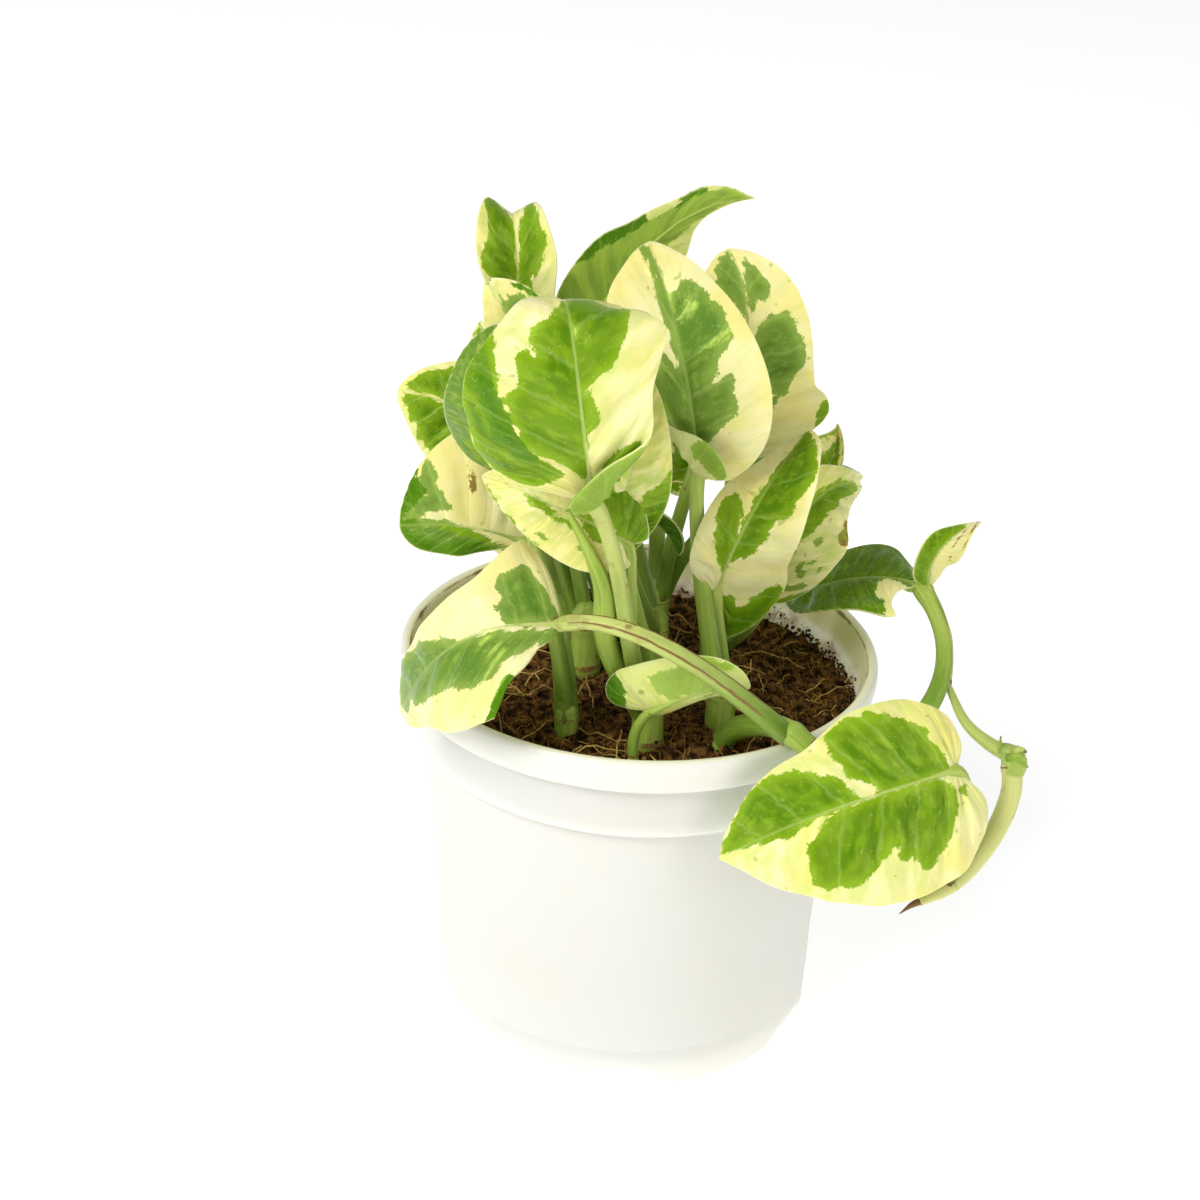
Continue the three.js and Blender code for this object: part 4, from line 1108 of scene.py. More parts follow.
def front_shoot() -> Shoot:
    """The shoot at the front, with the big leaf that hides the middle."""
    big = Leaf(
        "big_front_leaf", stalk=((4, -37, 106), (-4, -42, 125), (-4, -46, 155)), taper=(2.6, 1.8),
        rib=((-13, -54, 174), (-16, -68, 198), (-21, -64, 244), (-24, -30, 208)), side=(1, 0, 0),
        width=48, halves=(1.15, 0.92), fold=(6, 2), cup=(-30, -25), heart=(-0.3, 0),
        outline=(FRONT_LEFT, FRONT_RIGHT), flap=(None, (36, 155)), flush=0.38, pallor_and_light=0.55,
        patches=(
            Patch(Tone.GREEN, (
                (-2, 10), (-20, 15.5), (-42, 20), (-55, 24.5), (-56, 29), (-60, 34.5), (-60, 40),
                (-57, 41.5), (-49, 43.5), (-50, 47.5), (-50, 50.5), (-45, 53), (-38, 53), (-30, 50),
                (-35, 55.5), (-35, 58), (-29, 61), (-17, 61), (0, 70), (10, 72), (40, 70), (60, 64),
                (63, 60), (60, 56), (50, 51), (42, 48.5), (34, 46), (24, 44), (12, 41), (6, 40),
                (10, 38.5), (17, 35), (17, 30), (6, 26), (1, 20))),
            Patch(Tone.GREEN, (
                (-66, 60), (-66, 50), (-66, 44), (-67, 40), (-68, 36), (-62, 31), (-56, 26),
                (-47, 21), (-40, 17), (-28, 14), (-20, 10), (-27, 7), (-35, 4), (-50, 1), (-75, 5),
                (-90, 12), (-98, 20), (-102, 30), (-103, 45), (-97, 55), (-85, 63), (-70, 66))),
            Patch(Tone.DARK, (
                (-80, 56), (-72, 50), (-68, 42), (-60, 32), (-47, 22), (-40, 17), (-50, 15),
                (-66, 20), (-78, 28), (-86, 40), (-86, 50))),
            Patch(Tone.GREEN, (
                (2, -10), (2, 5), (12, 11), (25, 17), (38, 20), (55, 22), (75, 18), (80, 10),
                (70, 5), (60, -10), (20, -12))),
        ))
    band = Leaf(
        "small_band_leaf", stalk=((2, -39, 110), (-4, -40, 124), (-2, -38, 140)), taper=(2.2, 1.5),
        rib=((-4, -42, 157), (-13, -46, 165), (-26, -42, 168), (-41, -34, 170)), side=(0.3, 0.3, 1),
        width=24, fold=(5, 5), cup=(-8, -8), flush=0.4,
        patches=(
            Patch(Tone.GREEN, (
                (2, -5), (30, -10), (80, -5), (105, 15), (105, 35), (80, 42), (50, 35), (25, 20),
                (5, 10))),
            Patch(Tone.GREEN, (
                (0, 72), (-8, 69), (-20, 62), (-20, 55), (-30, 50), (-25, 43), (-27, 35), (-20, 33),
                (-12, 40), (-13, 48.5), (-4, 52), (0, 62))),
            Patch(Tone.GREEN, (
                (0, 38), (12, 31), (15, 24), (-10, 20), (-20, 13), (-30, 20), (-20, 28), (-8, 33))),
            Patch(Tone.GREEN, (
                (-25, 99), (-50, 87), (-72, 73), (-90, 60), (-100, 50), (-85, 52), (-74, 63),
                (-58, 72), (-40, 84), (-16, 95))),
            Patch(Tone.GREY, ((-66, 56), (-74, 52), (-68, 47), (-58, 50))),
            Patch(Tone.GREY, ((-50, 30), (-62, 24), (-52, 18))),
            Patch(Tone.GREEN, ((30, 70), (60, 60), (90, 40), (70, 35), (40, 50))),
        ))
    cream = Leaf(
        "cream_middle_leaf", stalk=((5, -35, 106), (4, -31, 120), (-4, -27, 138)), taper=(2.2, 1.5),
        rib=((-7, -36, 159), (-5, -44, 175), (-2, -44, 188), (-2, -36, 200)), side=(1, 0, 0.1),
        width=28, halves=(1, 0.76), fold=(8, 8), cup=(-10, -10), heart=(0, 0.5), flush=0.7,
        patches=(
            Patch(Tone.GREEN, (
                (-2, 12), (-25, 20), (-50, 30), (-85, 35), (-102, 25), (-95, 12), (-60, -3),
                (-25, -10))),
            Patch(Tone.GREEN, (
                (105, 52), (88, 49), (65, 38.5), (40, 31), (38, 23), (38, 16.5), (33, 12), (20, -2),
                (15, -12), (40, -20), (90, -8), (110, 10), (115, 35))),
            Patch(Tone.GREEN, (
                (-40, 48), (-20, 45), (-15, 38), (-22, 31), (-2, 22), (-12, 17), (-30, 22),
                (-40, 30), (-52, 35), (-50, 43))),
            Patch(Tone.GREY, ((12, 20), (30, 16), (30, 10), (10, 10))),
        ))
    bud = Run(
        "rolled_young_leaf", ((1, -38, 108), (-8, -40, 128), (-10, -46, 148), (-19, -50, 169)),
        (2.6, 3, 0.7), rolled=True)
    return Shoot("front_shoot", (3, -37), 4.6, 116, (big, band, cream), buds=(bud,))


def right_shoot() -> Shoot:
    """The shoot behind the big leaf, to the right."""
    tall = Leaf(
        "tall_right_leaf", stalk=((22, -24, 104), (17, -24, 128), (12, -22, 150)), taper=(2.7, 1.7),
        rib=((12, -24, 172), (10, -31, 191), (4, -27, 213), (-3, -9, 224)), side=(1, 0, 0),
        width=40, fold=(8, 8), cup=(-15, -15), outline=(TALL_LEFT, None), flap=((24, 160), None),
        patches=(
            Patch(Tone.GREY, (
                (0, 10), (6, 9), (15, 10), (24, 14), (37, 18), (45, 21.5), (55, 24), (57, 28),
                (57, 33), (58, 37.5), (50, 38.5), (32, 37), (35, 41), (40, 42), (45, 45.5),
                (55, 49), (64, 52), (66, 55.5), (63, 60.5), (58, 64.5), (51, 68.4), (44, 73.5),
                (37, 77), (28, 79.5), (18, 78), (16, 76), (3, 76.5), (-2, 92), (-7, 98.5),
                (-20, 98.5), (-12, 90), (-11, 79), (-15, 71.5), (-14, 64.5), (-8.5, 60), (-10, 53),
                (-8, 45), (-13, 48), (-24, 55.6), (-31, 48), (-42, 41), (-37, 33), (-30, 21),
                (-19, 16), (-8, 12))),
            Patch(Tone.GREEN, (
                (-36, -14), (-32, -3), (-38, 5), (-50, 8), (-70, 6), (-70, -10), (-50, -16))),
        ))
    lobed = Leaf(
        "right_lobed_leaf", stalk=((24, -23, 104), (23, -20, 112), (20, -18, 123)), taper=(2, 1.5),
        rib=((19, -22, 136), (23, -30, 157), (30, -26, 169), (40, -8, 176)), side=(0.9, 0, 0.45),
        width=30, halves=(0.72, 1), fold=(10, 10), cup=(-15, -15), heart=(-0.5, 0.8),
        outline=(None, BLADE_LOBE), pallor_and_light=0.3,
        patches=(
            Patch(Tone.GREEN, (
                (0, 100), (25, 93), (62, 82), (75, 73.5), (68, 65.5), (60, 57.5), (53, 53),
                (43, 50), (42, 45), (40, 36), (30, 28), (8, 23.5), (0, 20), (-10, 40), (-10, 70),
                (-4, 90))),
            Patch(Tone.GREEN, (
                (-38, 50.5), (-52, 51.5), (-70, 47.5), (-72, 43.5), (-68, 37.5), (-62, 33),
                (-47, 27), (-33, 22.5), (-10, 14), (0, 10), (0, 30), (-12, 41), (-23, 45.5))),
            Patch(Tone.GREEN, (
                (3, 0), (15, 3), (30, 6), (45, 4), (62, 6), (75, 10), (95, 15), (117, 10),
                (100, -2), (75, -8), (48, -12), (24, -12), (5, -6))),
        ))
    return Shoot("right_shoot", (22, -24), 4.4, 112, (tall, lobed))


def flat_at(leaf: Leaf, half: int, row: float, column: float) -> Flat:
    """Find a flat point, in percent, from its place along a half's outline and across it."""
    edge = catmull(leaf.half_outline(half), np.array([row]))[0]
    start = max(0.0, (row - LOBE_SHARE) / (1 - LOBE_SHARE)) ** VEIN_SWEEP
    u, v = HANDS[half] * edge[0] * column, start + (edge[1] - start) * column
    return PERCENT * u, PERCENT * v


def streaked(leaf: Leaf, tone: Tone, cover: float, extra: int = 0) -> Leaf:
    """Give a leaf patches that run out from its midrib between the side veins.

    Args:
        leaf: The leaf to patch.
        tone: The patches' tone.
        cover: About how much of each half they cover, from 0 to 1.
        extra: Changes the draw.

    Returns:
        The leaf with the patches added.
    """
    draw = np.random.default_rng(seed_of(leaf.name) + extra)
    made = []
    for half in (0, 1):
        row = draw.uniform(0.02, 0.12)
        while row < 0.92:
            span = draw.uniform(0.1, 0.28)
            if draw.uniform() < 0.35 + 0.65 * cover:
                inner = draw.choice([0.0, 0.0, 0.12, 0.3])
                reach = np.clip(draw.uniform(0.35, 0.75) + 0.5 * cover, 0, 1.05)
                rows = np.linspace(row, min(row + span, 0.985), 6)
                outer = [flat_at(leaf, half, r, reach * draw.uniform(0.78, 1.0)) for r in rows]
                near = [flat_at(leaf, half, r, inner * draw.uniform(0.5, 1.0)) for r in rows[::-2]]
                made.append(Patch(tone, tuple(outer + near)))
            row += span * draw.uniform(0.75, 1.3)
    return replace(leaf, patches=leaf.patches + tuple(made))


def left_back_shoot() -> Shoot:
    """The shoot at the back left, with the tall folded leaf and the brown-tipped one."""
    tall = Leaf(
        "tall_left_leaf", stalk=((-16, 2, 110), (-23, 10, 127), (-32, 14, 160)), taper=(2.2, 1.5),
        rib=((-35, 10, 187), (-35, 2, 201), (-37, 0, 230), (-39, 16, 221)), side=(1, 0, 0),
        width=30, halves=(1.12, 1.1), fold=(34, 34), cup=(-5, -5), outline=(BACK_LEFT, BACK_RIGHT),
        flush=0.35,
        patches=(
            Patch(Tone.GREEN, (
                (-55, 87), (-37, 90), (-28, 87), (-17, 87), (-6, 86), (-2, 78), (-1.5, 71),
                (-3, 61), (-5, 51), (-8, 46), (-20, 40), (-30, 30), (-40, 30), (-42, 50), (-52, 54),
                (-58, 58), (-60, 61.5), (-60, 65), (-57, 67.5), (-48, 73), (-45, 75), (-54, 77),
                (-48, 79), (-52, 82))),
            Patch(Tone.GREEN, (
                (27, 90), (35, 88.5), (42, 82), (48, 77), (56, 72), (58, 68.5), (58, 65), (50, 62),
                (50, 57), (42, 56), (38, 53), (30, 52), (27, 40), (20, 20), (3, 20), (2, 51),
                (5, 58.5), (9, 67), (10, 74), (13, 77.5), (20, 83), (27, 86))),
        ))
    tipped = Leaf(
        "brown_tipped_leaf", stalk=((-14, 1, 110), (-17, 4, 126), (-25, 9, 153)), taper=(2.2, 1.5),
        rib=((-29, 2, 178), (-32, -6, 193), (-38, -6, 203), (-44, 0, 209)), side=(0.8, -0.1, 0.5),
        width=26, halves=(0.78, 1.35), fold=(10, 10), cup=(0, 0), flush=0.35,
        patches=(
            Patch(Tone.GREY, (
                (7, 88), (5, 82), (0, 76), (-4, 65), (6, 66), (25, 69), (55, 76), (43, 78),
                (27, 81), (16, 82), (15, 80), (10, 80), (9, 84))),
            Patch(Tone.DARK, (
                (36, 87.5), (46, 83), (58, 77), (68, 71), (74, 66), (66, 68), (56, 73), (46, 78),
                (36, 83))),
            Patch(Tone.GREEN, (
                (30, 50), (50, 55), (70, 50), (80, 35), (60, 20), (30, 25), (10, 35))),
            Patch(Tone.BROWN, ((5, 100), (8, 97.5), (3, 96), (-4, 96.5), (-6, 100))),
            Patch(Tone.BROWN, ((-5, 63.5), (-1, 66), (5, 65.5), (0, 64))),
        ))
    upper = Leaf(
        "left_upper_leaf", stalk=((-17, 3, 108), (-25, 12, 114), (-29, 16, 142)), taper=(2.2, 1.5),
        rib=((-33, 14, 160), (-45, 12, 166), (-56, 12, 173), (-68, 16, 172)), side=(0, 0.2, 1),
        width=36, halves=(1, 0.88), fold=(3, 3), cup=(-8, -8), outline=(BLUNT, None), flush=0.35,
        patches=(
            Patch(Tone.GREEN, (
                (2, 90), (10, 93.5), (20, 90), (34, 85), (44, 80), (58, 70), (74, 60), (84, 50),
                (92, 35), (90, 20), (70, 5), (40, 0), (10, 2), (3, 10), (3, 50), (2, 80))),
            Patch(Tone.GREEN, (
                (-2, 90), (-20, 94), (-25, 90), (-45, 86.5), (-44, 82), (-55, 79), (-68, 77),
                (-68, 73.5), (-72, 69.5), (-78, 60), (-85, 45), (-85, 30), (-80, 15), (-60, 3),
                (-30, -2), (-5, 5), (-3, 40))),
        ))
    inner = Leaf(
        "left_inner_leaf", stalk=((-17, 3, 112), (-27, 16, 118), (-35, 20, 149)), taper=(1.8, 1.2),
        rib=((-41, 18, 170), (-42, 12, 180), (-45, 10, 189), (-46, 12, 194)), side=(0.8, -0.4, 0.2),
        width=16, fold=(20, 20), cup=(0, 0))
    leaves = (tall, tipped, upper, streaked(inner, Tone.GREEN, 0.6))
    return Shoot("left_back_shoot", (-15, 1), 4.6, 118, leaves)


def left_shoot() -> Shoot:
    """The shoot at the left, with the holed leaf and the streaked one."""
    holed = Leaf(
        "left_holed_leaf", stalk=((-18, -33, 102), (-19, -30, 123), (-25, -14, 134)),
        taper=(3.2, 1.8), rib=((-32, -9, 141), (-41, -15, 147), (-50, -18, 150), (-64, -14, 146)),
        side=(0, 0.25, 1), width=44, halves=(0.42, 1.4), fold=(3, 3), cup=(-15, -10),
        outline=(SIDE_LEFT, None),
        patches=(
            Patch(Tone.GREY, (
                (55, 74), (44, 70.5), (40, 69), (35, 70.5), (30, 68), (23, 65), (18, 60), (12, 60),
                (11, 65), (14, 70.5), (11, 72.5), (10, 77.5), (7, 77.5), (6, 81), (2, 83), (0, 90),
                (10, 93), (20, 86), (26, 77), (34, 81), (45, 80))),
            Patch(Tone.GREY, (
                (6, 95), (6, 80), (4, 70), (5, 62), (0, 55), (-2, 45), (-10, 35), (-25, 25),
                (-30, 10), (-60, 15), (-90, 35), (-100, 62), (-80, 85), (-40, 97), (0, 101))),
            Patch(Tone.GREEN, (
                (2, 70), (0, 62), (-6, 50), (-15, 38), (-30, 26), (-40, 28), (-28, 42), (-20, 55),
                (-12, 66))),
            Patch(Tone.DARK, (
                (50, 82), (38, 81.5), (33, 81), (30, 76.5), (26, 77), (22, 81), (20, 86.5),
                (14, 86), (14, 90), (8, 94), (5, 93), (4, 85.5), (0, 84.5), (-5, 93), (-25, 88),
                (-30, 80), (-50, 73), (-55, 60), (-42, 50), (-35, 40), (-40, 25), (-45, 15),
                (-90, 30), (-110, 50), (-110, 70), (-90, 86), (-40, 100), (15, 101), (35, 93))),
            Patch(Tone.BROWN, (
                (58, 57.5), (50, 54), (44, 53), (37, 51.2), (30, 50), (29, 48), (32, 46.5),
                (39, 47.5), (45, 50), (51, 52.8))),
        ))
    streaky = Leaf(
        "left_streaked_leaf", stalk=((-18, -33, 104), (-20, -34, 125), (-27, -30, 148)),
        taper=(2.2, 1.5), rib=((-33, -25, 168), (-38, -34, 182), (-42, -35, 198), (-39, -24, 206)),
        side=(0.9, -0.4, 0.1), width=28, halves=(1.16, 1), fold=(5, 5), cup=(-20, -20),
        base=Tone.GREY)
    return Shoot("left_shoot", (-18, -33), 3.6, 106, (holed, streaked(streaky, Tone.GREEN, 0.3)))


def top_shoot() -> Shoot:
    """The shoot in the middle, with the leaf that arches over the top."""
    arched = Leaf(
        "arched_top_leaf", stalk=((4, 4, 106), (0, 8, 130), (-14, 9, 168)), taper=(2.6, 1.7),
        rib=((-18, 6, 195), (-10, 10, 210), (3, 12, 230.3), (23, 18, 228.5)),
        side=(-0.5, -0.45, 0.7), width=28, halves=(0.5, 1), fold=(0, 0), cup=(-10, 10),
        outline=(ARCH_LEFT, ARCH_RIGHT), base=Tone.GREEN, flush=1,
        patches=(
            Patch(Tone.DARK, ((100, 66), (100, 78), (50, 81), (36, 79), (30, 71), (36, 64))),
            Patch(Tone.DARK, (
                (160, 26), (140, 42), (110, 56), (62, 56), (42, 52), (56, 43), (76, 34), (92, 24))),
            Patch(Tone.CREAM, (
                (110, 55), (110, 60), (90, 66), (43, 69), (35, 64), (36, 58.5), (42, 54))),
            Patch(Tone.CREAM, ((90, 78), (90, 86), (34, 86), (34, 80))),
            Patch(Tone.CREAM, (
                (-60, 50), (-55, 55), (-55, 60), (-50, 65), (-45, 69), (-35, 76), (-20, 84),
                (-8, 91), (-30, 95), (-70, 80), (-130, 68), (-160, 60), (-135, 56), (-120, 49),
                (-105, 44), (-80, 44))),
            Patch(Tone.BROWN, ((2, 53), (5, 55), (0, 56), (-3, 54))),
        ))
    # Its dark base tone is painted shade: the leaf lies shadowed behind the front stalks.
    curled = Leaf(
        "curled_middle_leaf", stalk=((5, 3, 110), (2, 0, 118), (-6, -6, 133)), taper=(1.8, 1.2),
        rib=((-4, -10, 148), (-2, -14, 153), (5, -14, 153), (9, -12, 141)), side=(0.2, -0.9, 0.5),
        width=18, fold=(10, 10), cup=(0, 0), base=Tone.DARK)
    back = Leaf(
        "back_tall_leaf", stalk=((3, 5, 112), (0, 6, 136), (-10, 28, 140)), taper=(2.2, 1.5),
        rib=((-12, 32, 150), (-14, 25, 168), (-18, 36, 186), (-24, 52, 180)), side=(-1, 0, 0),
        width=34, fold=(6, 6), cup=(-12, -12))
    return Shoot("top_shoot", (4, 4), 4, 116, (arched, curled, streaked(back, Tone.GREEN, 0.6)))


def right_back_shoot() -> Shoot:
    """The shoot at the back right, with the tall leaf, the scorched one and the rolled one."""
    tall = Leaf(
        "tall_back_leaf", stalk=((20, 13, 103), (22, 14, 116), (22, 16, 145)), taper=(3, 1.8),
        rib=((23, 12, 164), (25, 2, 185), (24, -2, 211), (17, 8, 218)), side=(1, 0.1, 0.1),
        width=38, fold=(5, 5), cup=(-10, -12), heart=(0, 0.3), outline=(BLUNT_LEFT, LOBED_RIGHT),
        patches=(
            Patch(Tone.GREY, (
                (23, 66.5), (40, 69), (52, 68.5), (60, 66), (66, 61), (74, 54.5), (78, 49.5),
                (77, 44), (71, 41), (62, 37), (61, 33.5), (55, 30), (44, 29.5), (35, 30.5),
                (10, 35), (5, 50), (10, 60))),
            Patch(Tone.GREY, ((36, 22), (45, 24), (44, 30), (37, 29))),
            Patch(Tone.GREY, (
                (10, 92.5), (24, 87.5), (35, 81.5), (36, 79), (33, 76.5), (15, 74.5), (12, 72),
                (6, 69), (5, 80))),
            Patch(Tone.GREY, (
                (-5, 98.5), (-30, 94), (-33, 90), (-38, 84.5), (-20, 78), (-5, 68), (0, 65),
                (2, 80), (0, 92))),
            Patch(Tone.GREEN, ((105, 10), (125, 16), (122, 24), (110, 24), (105, 17))),
        ))
    scorched = Leaf(
        "scorched_leaf", stalk=((22, 12, 102), (26, 6, 108), (30, -3, 116)), taper=(2, 1.5),
        rib=((33, -8, 127), (36, -16, 146), (41, -18, 170), (56, 2, 157)), side=(0.9, 0, 0.1),
        width=28, turn=(0.2, -0.3, -1), fold=(5, 5), cup=(-10, -10),
        outline=(SLIM_LEFT, SLIM_RIGHT), flush=0.5,
        patches=(
            Patch(Tone.GREEN, (
                (-10, 80), (-8, 68), (-10, 62), (-2, 54), (2, 47), (5, 40), (8, 33), (18, 35),
                (17, 40), (27, 42), (20, 45.5), (30, 49), (28, 54), (33, 56), (35, 65), (38, 70),
                (28, 75), (22, 82), (13, 92), (-2, 93), (-8, 86))),
            Patch(Tone.GREY, ((30, 25), (45, 22), (50, 26), (40, 29), (36, 33))),
            Patch(Tone.GREY, ((20, 10), (45, 12), (60, 17), (50, 19), (36, 15), (25, 15))),
            Patch(Tone.GREY, ((50, 33), (62, 36), (60, 42), (54, 38))),
            Patch(Tone.GREY, ((42, 44), (55, 46), (50, 50), (40, 48))),
            Patch(Tone.GREY, ((66, 28), (74, 30), (72, 34))),
            Patch(Tone.GREEN, (
                (4, 2), (20, 4.5), (50, 10), (72, 16), (86, 27), (84, 20), (60, 6), (30, 0))),
            Patch(Tone.GREEN, ((-30, 30), (-60, 20), (-90, 30), (-80, 50), (-50, 62), (-30, 50))),
            Patch(Tone.BROWN, (
                (60, 72), (64, 69), (72, 64), (70, 60), (76, 54), (86, 50), (100, 53), (100, 64),
                (80, 72))),
        ))
    rolled = Leaf(
        "right_rolled_leaf", stalk=((22, 15, 105), (25, 18, 108), (39, 24, 124)), taper=(1.8, 1.2),
        rib=((41, 22, 143), (44, 18, 151), (51, 18, 153), (50, 24, 166)), side=(0.8, 0, 0.3),
        width=16, halves=(1, 0.65), fold=(35, 35), cup=(0, 0), outline=(BULGED_LEFT, None),
        patches=(
            Patch(Tone.GREEN, (
                (-130, 75), (-90, 88), (-10, 96), (0, 90), (-35, 86), (-80, 79), (-95, 68),
                (-110, 58))),
            Patch(Tone.GREEN, ((-5, 80), (-2, 50), (-20, 42), (-60, 48), (-65, 60), (-30, 70))),
            Patch(Tone.GREEN, ((5, 88), (30, 80), (50, 65), (50, 50), (30, 42), (10, 45), (5, 60))),
            Patch(Tone.DARK, (
                (50, 86), (80, 70), (100, 50), (105, 35), (90, 35), (78, 55), (62, 70), (40, 84))),
        ))
    return Shoot("right_back_shoot", (20, 13), 4, 110, (tall, scorched, rolled))


def back_shoots() -> tuple[Shoot, Shoot]:
    """The two shoots that fill the back, which the front hides."""
    def low(name: str, stalk: tuple[Point, Point, Point], rib: tuple[Point, Point, Point, Point],
            side: Point, width: float, taper: Pair = (2.2, 1.5)) -> Leaf:
        """Make one of the alike back leaves."""
        leaf = Leaf(name, stalk=stalk, taper=taper, rib=rib, side=side, width=width,
                    fold=(6, 6), cup=(-12, -12))
        return streaked(streaked(leaf, Tone.GREY, 0.35, 5), Tone.GREEN, 0.5)

    left = Shoot("back_left_shoot", (-10, 18), 3.8, 112, (
        low("back_left_leaf", ((-10, 18, 104), (-10, 22, 130), (-16, 26, 140)),
            ((-24, 32, 140), (-34, 44, 152), (-46, 54, 152), (-56, 66, 136)), (0.8, 0.6, 0), 36,
            (2.8, 1.7)),
        low("back_left_low_leaf", ((-11, 17, 108), (-12, 20, 120), (-18, 24, 122)),
            ((-24, 28, 116), (-32, 38, 126), (-42, 50, 124), (-52, 62, 108)), (0.8, 0.6, 0), 30)))
    right = Shoot("back_shoot", (4, 22), 4.2, 116, (
        low("back_middle_leaf", ((4, 22, 104), (4, 24, 130), (2, 34, 138)),
            ((2, 42, 138), (2, 52, 150), (4, 66, 150), (4, 80, 130)), (1, 0, 0), 38, (2.8, 1.7)),
        low("back_right_leaf", ((5, 22, 108), (10, 24, 130), (22, 28, 136)),
            ((30, 34, 138), (38, 42, 148), (50, 52, 148), (60, 64, 132)), (0.7, -0.7, 0), 32),
        low("back_upper_leaf", ((5, 21, 112), (8, 20, 140), (14, 26, 150)),
            ((14, 32, 162), (16, 26, 178), (20, 40, 196), (24, 54, 186)), (-1, 0.2, 0), 32)))
    return left, right


def low_leaf() -> Shoot:
    """The small leaf low at the front that shows its underside."""
    leaf = Leaf(
        "small_low_leaf", stalk=((0, -48, 101), (-1, -48, 107), (1, -47, 111)), taper=(1.5, 1.2),
        rib=((4, -49, 115), (9, -53, 120), (17, -54, 126), (28, -51, 124)), side=(-0.4, -0.3, 0.9),
        width=26, halves=(0.3, 0.9), fold=(0, 0), cup=(30, 35), outline=(None, BACK_LOBE), wing=0,
        flush=0.5,
        patches=(
            Patch(Tone.GREEN, ((50, 72), (62, 60), (85, 56), (90, 66), (70, 76), (50, 82))),
            Patch(Tone.DARK, ((20, -40), (50, -14), (90, -8), (120, -20), (100, -40))),
            Patch(Tone.CREAM, (
                (74, 0), (78, 20), (80, 40), (84, 50), (120, 52), (130, 20), (120, -4), (90, -6))),
            Patch(Tone.CREAM, ((15, 72), (35, 78), (42, 86), (20, 99), (-10, 99), (0, 80))),
            Patch(Tone.BROWN, ((30, 38), (34, 40), (30, 42.5), (27, 40))),
            Patch(Tone.BROWN, ((52, 5), (56, 7), (52, 10))),
            Patch(Tone.BROWN, ((60, 60), (63, 63), (58, 63))),
            Patch(Tone.BROWN, ((10, 30), (14, 31), (12, 34), (8, 33))),
        ))
    return Shoot("low_leaf", (0, -48), 1.6, 102, (streaked(leaf, Tone.GREY, 0.5),))


